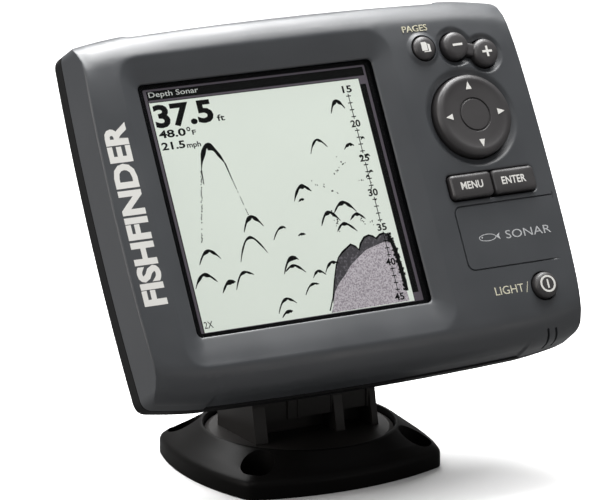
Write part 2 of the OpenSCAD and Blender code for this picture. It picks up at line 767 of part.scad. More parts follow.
// Cross with two short shafts: the pad rocks up and down on one, left and right on the other
module arrow_cross() color([0.1, 0.1, 0.1]) translate([pad_at[0], pad_at[1], 0]) {
    rod_x(-gimbal_l / 2, gimbal_l / 2, 0, gimbal_z, gimbal_r);
    rod_y(-gimbal_l / 2, gimbal_l / 2, gimbal_z, gimbal_r);
    translate([-1.8, -1.8, gimbal_z - 1.3]) cube([3.6, 3.6, 2.6]);
}

module arrow_pad() color([0.22, 0.21, 0.22]) difference() {
    union() {
        difference() {
            union() {
                translate([pad_at[0], pad_at[1], -5.2]) cylinder(h = pad_h + 5.2 - 1, r = pad_r);
                translate([pad_at[0], pad_at[1], pad_h - 1]) cylinder(h = 1, r1 = pad_r, r2 = pad_r - 1.4);
                post(pad_at, -5.4, -4.4, pad_r + 1.2);
            }
            post(pad_at, -8, gimbal_z + 2.6, 7.2);
        }
        for (a = [0:90:270])
            post(pad_at + arrow_dome_r * [cos(a), sin(a)], plunger_end + 0.3, -5, plunger_r);
        // Two lugs that hang on the cross
        for (y = [-gimbal_l / 2, gimbal_l / 2 - gimbal_lug_t])
            translate([pad_at[0] - 1.7, pad_at[1] + y, gimbal_z - 1.7]) cube([3.4, gimbal_lug_t, 5]);
    }
    translate([pad_at[0], pad_at[1], 0]) rod_y(-gimbal_l, gimbal_l, gimbal_z, gimbal_r + play);
    translate([pad_at[0], pad_at[1], pad_h - 0.5]) difference() {
        cylinder(h = 1, r = ring_r + ring_w / 2);
        translate([0, 0, -1]) cylinder(h = 3, r = ring_r - ring_w / 2);
    }
}

// ---------- rear socket ----------

module cable_socket() color([0.08, 0.08, 0.08]) difference() {
    union() {
        post(socket_at, hump_z - collar_l, hump_z + 8, 7.5);
        post(socket_at, hump_z - collar_l, hump_z - 2, collar_r);
        post(socket_at, hump_z - 2, hump_z - 0.9, 10.4);
    }
    post(socket_at, hump_z - collar_l - 1, hump_z - 1.6, collar_in);
}

function contact_at(i) = let (a = 90 + 360 * i / contacts)
    socket_at + contact_ring_r * [cos(a), sin(a)];

module socket_pins() color([0.8, 0.65, 0.3]) for (i = [0:contacts - 1])
    post(contact_at(i), hump_z - 7, hump_z - 1.6, contact_r);

module socket_seal() color([0.08, 0.08, 0.08]) difference() {
    post(socket_at, hump_z - 0.9, hump_z, 9.6);
    post(socket_at, hump_z - 2, hump_z + 1, 7.55);
}

module socket_nut() color("silver") difference() {
    translate([socket_at[0], socket_at[1], hump_z + wall + 0.1]) cylinder(h = 3, r = 11, $fn = 6);
    post(socket_at, hump_z, hump_z + 10, 7.55);
}

module socket_wires() color([0.6, 0.1, 0.1]) for (i = [0:contacts - 1])
    post(contact_at(i), hump_z + 8.05, board_z - board_t - 0.05, 0.9);

// ---------- nodes ----------

base_plate();
swivel_bracket();
swivel_washer();
swivel_screw();
release_spring();
release_button();
release_pawl();
unit_place() front_case();
unit_place() rear_case();
unit_place() case_seal();
unit_place() case_screws();
unit_place() tilt_pin();
unit_place() pin_clip();
unit_place() tilt_ratchet();
unit_place() window_lens();
unit_place() window_seal();
unit_place() lcd_panel();
unit_place() lcd_frame();
unit_place() backlight();
unit_place() lcd_ribbon();
unit_place() main_board();
unit_place() board_screws();
unit_place() processor_chips();
unit_place() shield_can();
unit_place() sonar_transformer();
unit_place() capacitors();
unit_place() sounder();
unit_place() keypad_board();
unit_place() keypad_mat();
unit_place() keypad_ribbon();
unit_place() cable_socket();
unit_place() socket_pins();
unit_place() socket_seal();
unit_place() socket_nut();
unit_place() socket_wires();
unit_place() pages_key();
unit_place() zoom_key();
unit_place() menu_key();
unit_place() enter_key();
unit_place() power_key();
unit_place() arrow_yoke();
unit_place() arrow_cross();
unit_place() arrow_pad();
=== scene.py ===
import math
import random

import bmesh
import bpy
import numpy as np
from mathutils import Matrix, Vector
from mathutils.geometry import delaunay_2d_cdt


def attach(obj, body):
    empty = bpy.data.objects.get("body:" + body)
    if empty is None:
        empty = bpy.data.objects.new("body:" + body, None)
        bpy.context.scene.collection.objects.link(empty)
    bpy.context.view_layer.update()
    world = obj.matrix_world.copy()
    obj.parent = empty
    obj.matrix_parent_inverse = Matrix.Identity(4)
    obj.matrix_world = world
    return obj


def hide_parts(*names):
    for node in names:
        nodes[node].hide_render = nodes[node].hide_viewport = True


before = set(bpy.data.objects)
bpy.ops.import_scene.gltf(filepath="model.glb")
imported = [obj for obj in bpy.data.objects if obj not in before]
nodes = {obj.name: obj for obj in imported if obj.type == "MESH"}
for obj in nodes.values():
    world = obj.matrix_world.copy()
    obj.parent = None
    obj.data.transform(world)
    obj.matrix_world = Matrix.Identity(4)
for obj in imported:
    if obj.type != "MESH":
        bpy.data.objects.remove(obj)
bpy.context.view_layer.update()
random.seed(7)

# ---------- places, in millimetres ----------
# The unit's frame: X right, Y up the face, Z out of the face, zero at the middle of the face.
TILT = math.radians(28.6)
PIN_Y, PIN_Z = -47.2, -58.7
UNIT = (Matrix.Scale(0.001, 4) @ Matrix.Translation((0, 1, 37))
        @ Matrix.Rotation(math.radians(90) - TILT, 4, "X") @ Matrix.Translation((0, -PIN_Y, -PIN_Z)))
BASE = Matrix.Scale(0.001, 4)

# Front shell's depth, rear rim's depth, wall, and radius of the roll along the top and the bottom edge
FRONT_D, RIM_D, WALL, ROLL = 16.0, 6.0, 3.0, 12.3
# The face starts to bend PRE_ROLL before its roll; SEAM is the depth of the groove at the parting line
PRE_ROLL, SEAM = 8.0, 0.33
# Half width and depth of the recess for a snap-on cover
RECESS_X, RECESS_D = 62.5, 0.65
# Window opening, how deep it lies, and the outer edge of the sloping band around it
WIN_X, WIN_Y, WIN_W, WIN_H, BAND_D = -19.4, 0.6, 93.3, 90.3, 2.8
BAND = (WIN_X, WIN_Y - 0.7, 107.7, 111.4, 8.7)
LIP_Z, LCD_Z = -3.3, -4.6
# Keys: radii, gap around each, height above the face, and the level of the flange under the face
KEY_R, PAGES_R, POWER_R, GAP, KEY_H = 5.1, 4.4, 4.75, 0.5, 2.2
FLANGE = -WALL - 0.3
PAGES, MINUS, PLUS, POWER = (47.5, 46.1), (60.6, 45.7), (72.1, 42.0), (71.9, -45.4)
PAD, PAD_R, PAD_H = (60.3, 19.3), 15.2, 3.0
TEXT_AT, TEXT_W, TEXT_H, TEXT_SPLIT = (61.3, -5.9), 35.2, 8.8, 61.0
LABEL = (73.1, -24.6, 59.4, 23.4, 2.7)
DRAINS = [(70.9, 73.6), (74.4, 77.8)]
SCREW_AT = [(-78.2, 54.2), (78.2, 54.2), (-78.2, -54.2), (78.2, -54.2), (-21, 57.4), (-21, -57.4)]
SOCKET_AT = (20, 10)
BASE_HOLES = [(x, y) for x in (-32.3, 32.3) for y in (-27.2, 27.2)]
SHARP_ANGLE = math.radians(32)


# ---------- numeric helpers ----------
def ease(t):
    t = np.clip(t, 0, 1)
    return t * t * (3 - 2 * t)


def soft_min(a, b, k):
    h = np.maximum(k - np.abs(a - b), 0) / k
    return np.minimum(a, b) - h * h * k / 4


def round_edge(d, r):
    """How far a surface drops d inside its edge, for an edge rounded by r."""
    t = np.clip(r - d, 0, r)
    return r - np.sqrt(np.maximum(r * r - t * t, 0))


def sd_rect(x, y, cx, cy, w, h, r):
    qx, qy = np.abs(x - cx) - w / 2 + r, np.abs(y - cy) - h / 2 + r
    return np.hypot(np.maximum(qx, 0), np.maximum(qy, 0)) + np.minimum(np.maximum(qx, qy), 0) - r


def inside(poly, x, y):
    """Which points lie inside a closed polygon."""
    odd = np.zeros(len(x), bool)
    px, py = poly[:, 0], poly[:, 1]
    for i in range(len(poly)):
        x0, y0, x1, y1 = px[i - 1], py[i - 1], px[i], py[i]
        if y0 != y1:
            cross = (y0 > y) != (y1 > y)
            odd ^= cross & (x < (x1 - x0) * (y - y0) / (y1 - y0) + x0)
    return odd


def at_height(loop, z):
    return np.column_stack([loop[:, 0], loop[:, 1], np.broadcast_to(z, len(loop))])


def circle(at, r, n=64):
    a = np.arange(n) * 2 * math.pi / n
    return np.column_stack([at[0] + r * np.cos(a), at[1] + r * np.sin(a)])


def rect_loop(cx, cy, w, h, r, corner=8, side=10):
    """Rounded rectangle with the same number of points whatever its size."""
    r = max(r, 1e-3)
    out = []
    for k, (sx, sy) in enumerate([(1, 1), (-1, 1), (-1, -1), (1, -1)]):
        ox, oy = cx + sx * (w / 2 - r), cy + sy * (h / 2 - r)
        for i in range(corner + 1):
            a = math.radians(90 * k + 90 * i / corner)
            out.append((ox + r * math.cos(a), oy + r * math.sin(a)))
        nx, ny = [(-1, 1), (-1, -1), (1, -1), (1, 1)][k]
        qx, qy = cx + nx * (w / 2 - r), cy + ny * (h / 2 - r)
        a = math.radians(90 * (k + 1))
        end = (qx + r * math.cos(a), qy + r * math.sin(a))
        start = out[-1]
        out += [(start[0] + (end[0] - start[0]) * i / side, start[1] + (end[1] - start[1]) * i / side)
                for i in range(1, side)]
    return np.array(out)


def side_at(y):
    return 87.8 - 1.4 * (y / 56) ** 2


def top_at(x):
    """Height of the roll's upper tangent: the top edge bows, then falls away over the shoulders."""
    ax = np.abs(x)
    return 67.0 - 1.2 * (ax / 62.5) ** 2 - 1.6 * np.maximum((ax - 64) / 20, 0) ** 1.5


def flat_at(x):
    return top_at(x) - ROLL + 0.2


def in_recess(x):
    return ease((RECESS_X + 1.1 - np.abs(x)) / 1.1)


def four_quarters(quarter):
    """Closed loop from its first quarter, which runs from the X axis to the Y axis."""
    q = np.array(quarter)
    return np.vstack([q, (q * [-1, 1])[-2::-1], (q * [-1, -1])[1:], (q * [1, -1])[-2:0:-1]])


def case_loop(inset=0.0, lift=0.5, recess=0.0, shift=0.0):
    """Outline of the case: bowed sides, small corners, sloping shoulders and the cover's recess."""
    def side(y):
        return side_at(y) - inset

    def top(x):
        return float(top_at(x)) + lift - inset
    cx, cy = 86.0, 63.0
    for _ in range(6):
        cx, cy = side(cy), top(cx)
    leg = 3.6 - 0.35 * inset
    a, b = (side(cy - leg), cy - leg), (cx - leg, top(cx - leg))
    q = [(side(y), y) for y in np.linspace(0, a[1], 17)[:-1]]
    q += [tuple((1 - t) ** 2 * u + 2 * t * (1 - t) * c + t * t * v for u, c, v in zip(a, (cx, cy), b))
          for t in np.linspace(0, 1, 13)]
    for start, end, n in ((b[0], 66, 9), (66, 60, 13), (60, 0, 19)):
        q += [(x, top(x)) for x in np.linspace(start, end, n)[1:]]
    out = four_quarters(q)
    if recess:
        limit = top_at(out[:, 0]) + lift - inset - recess * in_recess(out[:, 0])
        far = np.abs(out[:, 1]) > 50
        out[far, 1] = np.clip(out[far, 1], -limit[far], limit[far])
    out[:, 0] *= 1 - 7e-5 * out[:, 1]
    return out + [0, shift]


def inward(loop, d):
    """The loop moved inward by d along its own normals."""
    t = np.roll(loop, -1, 0) - np.roll(loop, 1, 0)
    t /= np.linalg.norm(t, axis=1)[:, None]
    return loop + d * np.column_stack([-t[:, 1], t[:, 0]])


def rounded(levels, radii, steps=4):
    """Loops of a loft, with each level's corner rounded by its radius."""
    levels = [np.asarray(v, float) for v in levels]
    out = [levels[0]]
    for j in range(1, len(levels) - 1):
        if radii[j] <= 0:
            out.append(levels[j])
            continue
        p, a, b = levels[j], levels[j - 1] - levels[j], levels[j + 1] - levels[j]
        la, lb = np.linalg.norm(a, axis=1)[:, None], np.linalg.norm(b, axis=1)[:, None]
        s = p + a / la * np.minimum(radii[j], la * 0.49)
        e = p + b / lb * np.minimum(radii[j], lb * 0.49)
        for t in np.linspace(0, 1, steps + 1):
            out.append((1 - t) ** 2 * s + 2 * t * (1 - t) * p + t * t * e)
    return out + [levels[-1]]


# ---------- mesh helpers ----------
class Shape:
    """Collects vertices and faces in millimetres."""

    def __init__(self):
        self.v, self.f = [], []

    def add(self, verts, faces):
        k = len(self.v)
        self.v += [tuple(p) for p in verts]
        self.f += [tuple(i + k for i in f) for f in faces]
        return self

    def loft(self, loops, cap0=True, cap1=True, ring=False):
        n, m = len(loops[0]), len(loops)
        verts = [p for loop in loops for p in loop]
        faces = []
        for j in range(m if ring else m - 1):
            a, b = j * n, (j + 1) % m * n
            faces += [(a + i, a + (i + 1) % n, b + (i + 1) % n, b + i) for i in range(n)]
        if cap0 and not ring:
            faces.append(tuple(range(n))[::-1])
        if cap1 and not ring:
            faces.append(tuple(range((m - 1) * n, m * n)))
        return self.add(verts, faces)

    def slab(self, poly, z0, z1):
        poly = np.asarray(poly, float)
        return self.loft([at_height(poly, z0), at_height(poly, z1)])

    def box(self, lo, hi):
        poly = [(lo[0], lo[1]), (hi[0], lo[1]), (hi[0], hi[1]), (lo[0], hi[1])]
        return self.slab(poly, lo[2], hi[2])

    def revolve(self, at, profile, radii=None, n=64, steps=3, **caps):
        loops = [at_height(circle(at, r, n), z) for r, z in profile]
        return self.loft(rounded(loops, radii or [0] * len(profile), steps), **caps)

    def lettering(self, text, box, z0, z1, bold=0.0, turn=False):
        """Built-in font, fitted to box (x0, y0, x1, y1). With turn it reads upwards."""
        curve = bpy.data.curves.new("lettering", "FONT")
        curve.body, curve.size, curve.offset, curve.resolution_u = text, 1, bold, 3
        curve.extrude = 0.5
        obj = bpy.data.objects.new("lettering", curve)
        bpy.context.scene.collection.objects.link(obj)
        bpy.context.view_layer.update()
        mesh = bpy.data.meshes.new_from_object(obj.evaluated_get(bpy.context.evaluated_depsgraph_get()))
        co = np.array([v.co for v in mesh.vertices])
        faces = [tuple(p.vertices) for p in mesh.polygons]
        bpy.data.objects.remove(obj)
        bpy.data.curves.remove(curve)
        bpy.data.meshes.remove(mesh)
        lo, hi = co.min(0), co.max(0)
        co = (co - lo) / (hi - lo)
        w, h = box[2] - box[0], box[3] - box[1]
        if turn:
            x, y = box[0] + (1 - co[:, 1]) * w, box[1] + co[:, 0] * h
        else:
            x, y = box[0] + co[:, 0] * w, box[1] + co[:, 1] * h
        return self.add(np.column_stack([x, y, z0 + co[:, 2] * (z1 - z0)]), faces)


def add_object(name, shape, place, weld=0.0):
    """Object from a shape in millimetres. Points nearer than weld, in metres, are joined."""
    m = np.array(place)
    co = np.asarray(shape.v, float) @ m[:3, :3].T + m[:3, 3]
    mesh = bpy.data.meshes.new(name)
    mesh.from_pydata(co.tolist(), [], shape.f)
    bm = bmesh.new()
    bm.from_mesh(mesh)
    if weld:
        bmesh.ops.remove_doubles(bm, verts=bm.verts, dist=weld)
    bmesh.ops.recalc_face_normals(bm, faces=bm.faces)
    bm.to_mesh(mesh)
    bm.free()
    obj = bpy.data.objects.new(name, mesh)
    bpy.context.scene.collection.objects.link(obj)
    return obj


def make(name, shape, place, body, mat, stands_for=(), weld=1e-7):
    """Visible piece that rides on a body. It stands for CAD nodes, or is a flat mark on one."""
    obj = add_object(name, shape, place, weld)
    obj.data.materials.append(mat)
    smooth(obj, weighted=bool(stands_for))
    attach(obj, body)
    if stands_for:
        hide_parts(*stands_for)
    return obj


def smooth(obj, weighted=True):
    """Smooth shading, with the edges over SHARP_ANGLE kept sharp."""
    bm = bmesh.new()
    bm.from_mesh(obj.data)
    for f in bm.faces:
        f.smooth = True
    for e in bm.edges:
        e.smooth = len(e.link_faces) == 2 and e.calc_face_angle(0) < SHARP_ANGLE
    bm.to_mesh(obj.data)
    bm.free()
    if weighted:
        mod = obj.modifiers.new("weighted", "WEIGHTED_NORMAL")
        mod.keep_sharp = True
        mod.weight = 80


def cut(obj, shape, place, how="DIFFERENCE"):
    """Exact boolean with a shape in millimetres, applied at once."""
    tool = add_object("tool", shape, place)
    obj.modifiers.clear()
    mod = obj.modifiers.new("cut", "BOOLEAN")
    mod.operation, mod.solver, mod.object, mod.use_self = how, "EXACT", tool, True
    bpy.context.view_layer.update()
    new = bpy.data.meshes.new_from_object(obj.evaluated_get(bpy.context.evaluated_depsgraph_get()))
    obj.modifiers.clear()
    old = obj.data
    obj.data = new
    bpy.data.meshes.remove(old)
    bpy.data.objects.remove(tool)
    smooth(obj)


# ---------- materials ----------
def surface(name, colour, rough, grain=0.3, bump=0.1, spread=0.12, metallic=0.0, spec=0.5, emit=0.0,
            speckle=None):
    """Moulded, painted or metal finish: fine grain (mm) in the bump, soft drift in colour and gloss.

    speckle is a second colour that follows the grain, and the two grain levels between which it comes in.
    """
    m = bpy.data.materials.new(name)
    m.use_nodes = True
    tree = m.node_tree
    p = tree.nodes["Principled BSDF"]
    new, link = tree.nodes.new, tree.links.new
    coord = new("ShaderNodeTexCoord")
    fine, broad = new("ShaderNodeTexNoise"), new("ShaderNodeTexNoise")
    for n, scale, detail in ((fine, 1000 / grain, 3.0), (broad, 38.0, 4.0)):
        n.inputs["Scale"].default_value = scale
        n.inputs["Detail"].default_value = detail
        link(coord.outputs["Object"], n.inputs["Vector"])
    ramp = new("ShaderNodeValToRGB")
    lo, hi = (tuple(c * (1 + s * spread) for c in colour) + (1,) for s in (-1, 1))
    low_end, high_end = ramp.color_ramp.elements
    low_end.position, high_end.position = 0.3, 0.7
    low_end.color, high_end.color = lo, hi
    link(broad.outputs["Fac"], ramp.inputs["Fac"])
    out = ramp.outputs["Color"]
    if speckle:
        mix, dots = new("ShaderNodeMix"), new("ShaderNodeValToRGB")
        mix.data_type = "RGBA"
        low_end, high_end = dots.color_ramp.elements
        low_end.position, high_end.position = speckle[1], speckle[2]
        link(fine.outputs["Fac"], dots.inputs["Fac"])
        link(dots.outputs["Color"], mix.inputs["Factor"])
        link(out, mix.inputs["A"])
        mix.inputs["B"].default_value = (*speckle[0], 1)
        out = mix.outputs["Result"]
    link(out, p.inputs["Base Color"])
    gloss = new("ShaderNodeMapRange")
    gloss.inputs["From Min"].default_value, gloss.inputs["From Max"].default_value = 0.3, 0.7
    gloss.inputs["To Min"].default_value, gloss.inputs["To Max"].default_value = rough - 0.06, rough + 0.06
    link(broad.outputs["Fac"], gloss.inputs["Value"])
    link(gloss.outputs["Result"], p.inputs["Roughness"])
    if bump:
        node = new("ShaderNodeBump")
        node.inputs["Strength"].default_value = bump
        node.inputs["Distance"].default_value = 0.00008
        link(fine.outputs["Fac"], node.inputs["Height"])
        link(node.outputs["Normal"], p.inputs["Normal"])
    p.inputs["Metallic"].default_value = metallic
    p.inputs["Specular IOR Level"].default_value = spec
    if emit:
        p.inputs["Emission Color"].default_value = (*colour, 1)
        p.inputs["Emission Strength"].default_value = emit
    return m


def clear_lens():
    """Clear sheet that turns more mirror-like the more slantwise it is seen."""
    m = bpy.data.materials.new("lens_acrylic")
    m.use_nodes = True
    tree = m.node_tree
    tree.nodes.remove(tree.nodes["Principled BSDF"])
    new, link = tree.nodes.new, tree.links.new
    see, shine, mix = (new("ShaderNodeBsdfTransparent"), new("ShaderNodeBsdfGlossy"),
                       new("ShaderNodeMixShader"))
    slant, steep, share = new("ShaderNodeLayerWeight"), new("ShaderNodeMath"), new("ShaderNodeMapRange")
    see.inputs["Color"].default_value = (0.97, 0.975, 0.97, 1)
    shine.inputs["Roughness"].default_value = 0.06
    slant.inputs["Blend"].default_value = 0.5
    steep.operation = "POWER"
    steep.inputs[1].default_value = 5
    share.inputs["To Min"].default_value, share.inputs["To Max"].default_value = 0.004, 0.8
    link(slant.outputs["Facing"], steep.inputs[0])
    link(steep.outputs["Value"], share.inputs["Value"])
    link(share.outputs["Result"], mix.inputs["Fac"])
    link(see.outputs["BSDF"], mix.inputs[1])
    link(shine.outputs["BSDF"], mix.inputs[2])
    link(mix.outputs["Shader"], tree.nodes["Material Output"].inputs["Surface"])
    return m


SLATE = surface("slate_paint", (0.054, 0.058, 0.064), 0.4, spread=0.05, spec=0.8)
REAR = surface("rear_plastic", (0.014, 0.014, 0.0145), 0.5, grain=0.45, bump=0.3, spread=0.1, spec=0.08)
BLACK = surface("base_plastic", (0.0042, 0.0039, 0.0037), 0.42, grain=0.4, bump=0.25, spec=0.09)
BRACKET = surface("bracket_plastic", (0.02, 0.0185, 0.0175), 0.42, grain=0.4, bump=0.25, spec=0.25)
KEY = surface("key_rubber", (0.036, 0.033, 0.034), 0.42, grain=0.25, bump=0.12, spread=0.06, spec=0.9)
WHITE = surface("legend_white", (0.85, 0.84, 0.8), 0.5, grain=0.2, spread=0.03)
CREAM = surface("legend_cream", (0.72, 0.69, 0.53), 0.5, grain=0.2, spread=0.03)
SILVER = surface("legend_silver", (0.55, 0.56, 0.57), 0.4, grain=0.2, spread=0.04)
STEEL = surface("stainless", (0.5, 0.5, 0.5), 0.28, bump=0.2, spread=0.05, metallic=1.0)
SEAL = surface("seal_rubber", (0.012, 0.012, 0.012), 0.75, grain=0.4, bump=0.2)
MASK = surface("mask_black", (0.003, 0.003, 0.004), 0.35, bump=0.05, spec=0.1)
LCD = surface("screen_glass", (0.6, 0.64, 0.59), 0.35, bump=0.0, spread=0.01, emit=0.5)
GLOW = surface("screen_title", (0.6, 0.62, 0.6), 0.4, bump=0.0, spread=0.02, emit=0.2)
INK = surface("screen_ink", (0.003, 0.0035, 0.0035), 0.5, bump=0.0, spread=0.1, spec=0.1)
BED = surface("screen_bed", (0.5, 0.46, 0.5), 0.5, grain=0.55, bump=0.0, spread=0.05, emit=0.3,
              speckle=((0.16, 0.13, 0.16), 0.42, 0.62))
# Dim purple-grey for the screen's unlit edge, darkened further as painted shade from the window's walls
MARGIN_SHADE = surface("screen_margin_shade", (0.085, 0.07, 0.09), 0.5, bump=0.0, spread=0.05, emit=0.2)
SHADE = surface("screen_shade", (0.06, 0.055, 0.065), 0.5, grain=0.9, bump=0.0, spread=0.1,
                speckle=((0.2, 0.18, 0.21), 0.5, 0.7))
PCB = surface("solder_mask", (0.01, 0.09, 0.035), 0.35, grain=0.5, bump=0.2, spread=0.15)
CHIP = surface("epoxy", (0.015, 0.015, 0.016), 0.6, bump=0.2)
AMBER = surface("polyimide", (0.4, 0.17, 0.03), 0.3, grain=0.5)
GOLD = surface("contact_gold", (0.75, 0.5, 0.18), 0.25, grain=0.2, metallic=1.0)
FERRITE = surface("ferrite", (0.035, 0.033, 0.031), 0.7, grain=0.5, bump=0.4)
LENS = clear_lens()

for names, mat in (
        (["swivel_washer", "swivel_screw", "release_spring", "case_screws", "tilt_pin", "pin_clip",
          "lcd_frame", "board_screws", "shield_can", "socket_nut"], STEEL),
        (["swivel_bracket", "release_button", "release_pawl", "tilt_ratchet"], BRACKET),
        (["front_case"], SLATE), (["rear_case"], REAR), (["base_plate", "cable_socket"], BLACK),
        (["case_seal", "window_seal", "socket_seal", "keypad_mat", "capacitors"], SEAL),
        (["window_lens"], LENS), (["lcd_panel"], LCD), (["backlight"], WHITE),
        (["lcd_ribbon", "keypad_ribbon"], AMBER), (["main_board", "keypad_board"], PCB),
        (["processor_chips", "sounder"], CHIP), (["sonar_transformer"], FERRITE),
        (["socket_pins"], GOLD), (["socket_wires"], CREAM), (["arrow_yoke", "arrow_cross"], REAR),
        (["pages_key", "zoom_key", "menu_key", "enter_key", "power_key", "arrow_pad"], KEY)):
    for n in names:
        for s in nodes[n].material_slots:
            s.material = mat


# ---------- front shell ----------
ZOOM_MID = ((MINUS[0] + PLUS[0]) / 2, (MINUS[1] + PLUS[1]) / 2)
ZOOM_HALF = math.hypot(PLUS[0] - MINUS[0], PLUS[1] - MINUS[1]) / 2
ZOOM_A = math.atan2(PLUS[1] - MINUS[1], PLUS[0] - MINUS[0])
WEB = 2.3


def zoom_local(x, y):
    c, s = math.cos(ZOOM_A), math.sin(ZOOM_A)
    dx, dy = x - ZOOM_MID[0], y - ZOOM_MID[1]
    return dx * c + dy * s, dy * c - dx * s


def zoom_world(loop):
    c, s = math.cos(ZOOM_A), math.sin(ZOOM_A)
    return np.column_stack([ZOOM_MID[0] + loop[:, 0] * c - loop[:, 1] * s,
                            ZOOM_MID[1] + loop[:, 0] * s + loop[:, 1] * c])


def zoom_loop(grow):
    """Dumbbell around the pair of zoom caps."""
    r, b = KEY_R + grow, WEB + grow
    a0 = math.asin(min(b / r, 0.999))
    arc = np.linspace(-(math.pi - a0), math.pi - a0, 41)
    right = np.column_stack([ZOOM_HALF + r * np.cos(arc), r * np.sin(arc)])
    left = -right
    return zoom_world(np.vstack([right, left]))


def sd_zoom(x, y):
    lx, ly = zoom_local(x, y)
    ends = np.hypot(np.abs(lx) - ZOOM_HALF, ly) - KEY_R
    web = np.maximum(np.abs(ly) - WEB, np.abs(lx) - ZOOM_HALF)
    return soft_min(ends, web, 1.2)


def dish(d, near, far, depth):
    return depth * (1 - ease((d - near) / (far - near)))


def roll(x, y, r=ROLL):
    a = np.maximum(np.abs(y) - flat_at(x), 0)
    return -ROLL + np.sqrt(np.maximum(r * r - a * a, 0))


def recess_from(x):
    """Where on the roll the cover's recess starts, as a distance past the flat face."""
    return ROLL * np.sin(np.radians(52 + 7 * (x / RECESS_X) ** 2))


def band_share(x, y):
    d_out = -sd_rect(x, y, *BAND)
    d_in = sd_rect(x, y, WIN_X, WIN_Y, WIN_W, WIN_H, 2)
    return d_out / np.maximum(d_out + np.maximum(d_in, 0), 1e-3), d_out, d_in


def face(x, y, edge):
    """Height of the front surface. edge is the distance in from the outline."""
    bend = 0.35 * np.clip((np.abs(y) - flat_at(x)) / PRE_ROLL + 1, 0, 1) ** 2
    w = roll(x, y) - bend
    step = ease((np.abs(y) - flat_at(x) - recess_from(x)) / 0.45) * in_recess(x)
    w = w + (np.minimum(roll(x, y, ROLL - RECESS_D), w) - w) * step
    share, d_out, d_in = band_share(x, y)
    near = d_out > -3
    share = np.minimum(share, 1)
    w = np.where(near, soft_min(w, -BAND_D * share - bend * (1 - share), 0.2), w)
    w = w - np.where(d_in < 0.6, round_edge(np.maximum(d_in, 0), 0.5), 0)
    d = np.hypot(x - PAGES[0], y - PAGES[1]) - PAGES_R
    w = w + dish(d, 0, 2.2, 1.0) - round_edge(np.maximum(d - GAP, 0), 0.3)
    d = np.hypot(x - POWER[0], y - POWER[1]) - POWER_R
    w = w - round_edge(np.maximum(d - GAP, 0), 0.3)
    d = sd_zoom(x, y)
    w = w - dish(d, 0.7, 2.7, 0.9) - round_edge(np.maximum(d - GAP, 0), 0.3)
    d = np.hypot(x - PAD[0], y - PAD[1])
    w = w - dish(d, PAD_R + 0.6, PAD_R + 3.6, 1.2) - round_edge(np.maximum(d - PAD_R - GAP, 0), 0.3)
    d = sd_rect(x, y, *TEXT_AT, TEXT_W, TEXT_H, 1.5)
    w = w - dish(d, GAP, 1.1, 0.25) - round_edge(np.maximum(d - GAP, 0), 0.3)
    groove = np.abs(sd_rect(x, y, *LABEL))
    fade = np.where(y < LABEL[1], 1 - ease((x - 75) / 7), 1 - ease((x - 84.5) / 2))
    w = w - 0.6 * fade * (1 - ease((groove - 0.08) / 0.22))
    slope = np.clip((np.abs(y) - flat_at(x)) / ROLL, 0, 1)
    return w - round_edge(edge, 0.8 * (1 - slope))


def draft(x, y, w):
    """The flanks narrow from the parting line to the face, most of all at the corners."""
    k = np.clip((np.abs(x) - 79) / 8.8, 0, 1) ** 2 * (0.4 + 1.1 * np.minimum(np.abs(y) / 54, 1) ** 6)
    return x - np.sign(x) * k * np.clip((FRONT_D + w) / FRONT_D, 0, 1)


def triangulate(loops, points):
    co, edges = [], []
    for loop in loops:
        k, n = len(co), len(loop)
        co += [Vector(p) for p in loop]
        edges += [(k + i, k + (i + 1) % n) for i in range(n)]
    co += [Vector(p) for p in points]
    v, _, f, *_ = delaunay_2d_cdt(co, edges, [], 0, 1e-5)
    return np.array([tuple(p) for p in v]), np.array([tuple(t) for t in f])


def keep_domain(v, f, outer, holes):
    c = v[f].mean(1)
    ok = inside(outer, c[:, 0], c[:, 1])
    for h in holes:
        ok &= ~inside(h, c[:, 0], c[:, 1])
    return f[ok]


def far_from(points, tests):
    p = np.array(points)
    ok = np.ones(len(p), bool)
    for t in tests:
        ok &= t(p[:, 0], p[:, 1])
    return p[ok]


def window_loop(grow):
    return rect_loop(WIN_X, WIN_Y, WIN_W + 2 * grow, WIN_H + 2 * grow, 2 + grow, 6, 24)


def text_loop(grow, radius):
    return rect_loop(*TEXT_AT, TEXT_W + 2 * grow, TEXT_H + 2 * grow, radius, 6, 12)


def detail_loops(outer):
    """Loops along the edge, the band, the key surrounds and the dishes, for the triangles to follow."""
    loops = [inward(outer, d) for d in (0.06, 0.2, 0.45, 0.8, 1.5, 2.6)]
    rim_out, rim_in = rect_loop(*BAND, 6, 24), window_loop(0)
    for t in (-0.3, -0.16, -0.08, -0.03, 0.02, 0.06, 0.12, 0.2, 0.35, 0.5, 0.65, 0.8, 0.9):
        loops.append(rim_out + (rim_in - rim_out) * t)
    loops += [window_loop(d) for d in (0.06, 0.16, 0.32, 0.55)]
    steps = (0.08, 0.2, 0.4, 0.7, 1.0, 1.3, 1.6, 1.9, 2.2, 2.5, 2.9)
    for at, r in ((PAGES, PAGES_R), (POWER, POWER_R)):
        loops += [circle(at, r + GAP + d) for d in steps]
    loops += [zoom_loop(GAP + d) for d in steps[:-1]]
    loops += [circle(PAD, PAD_R + GAP + d, 96) for d in steps + (3.3, 3.8)]
    loops += [text_loop(d, 1.5 + d) for d in (0.6, 0.72, 0.9, 1.2, 1.8)]
    return loops


def groove_points():
    """Points across the label's groove, which runs out before the flank."""
    points = []
    x, y, w, h, r = LABEL
    for d in (-0.5, -0.34, -0.2, -0.08, 0.08, 0.2, 0.34, 0.5):
        points += [tuple(p) for p in rect_loop(x, y, w + 2 * d, h + 2 * d, r + d, 8, 60) if p[0] < 86]
    return points


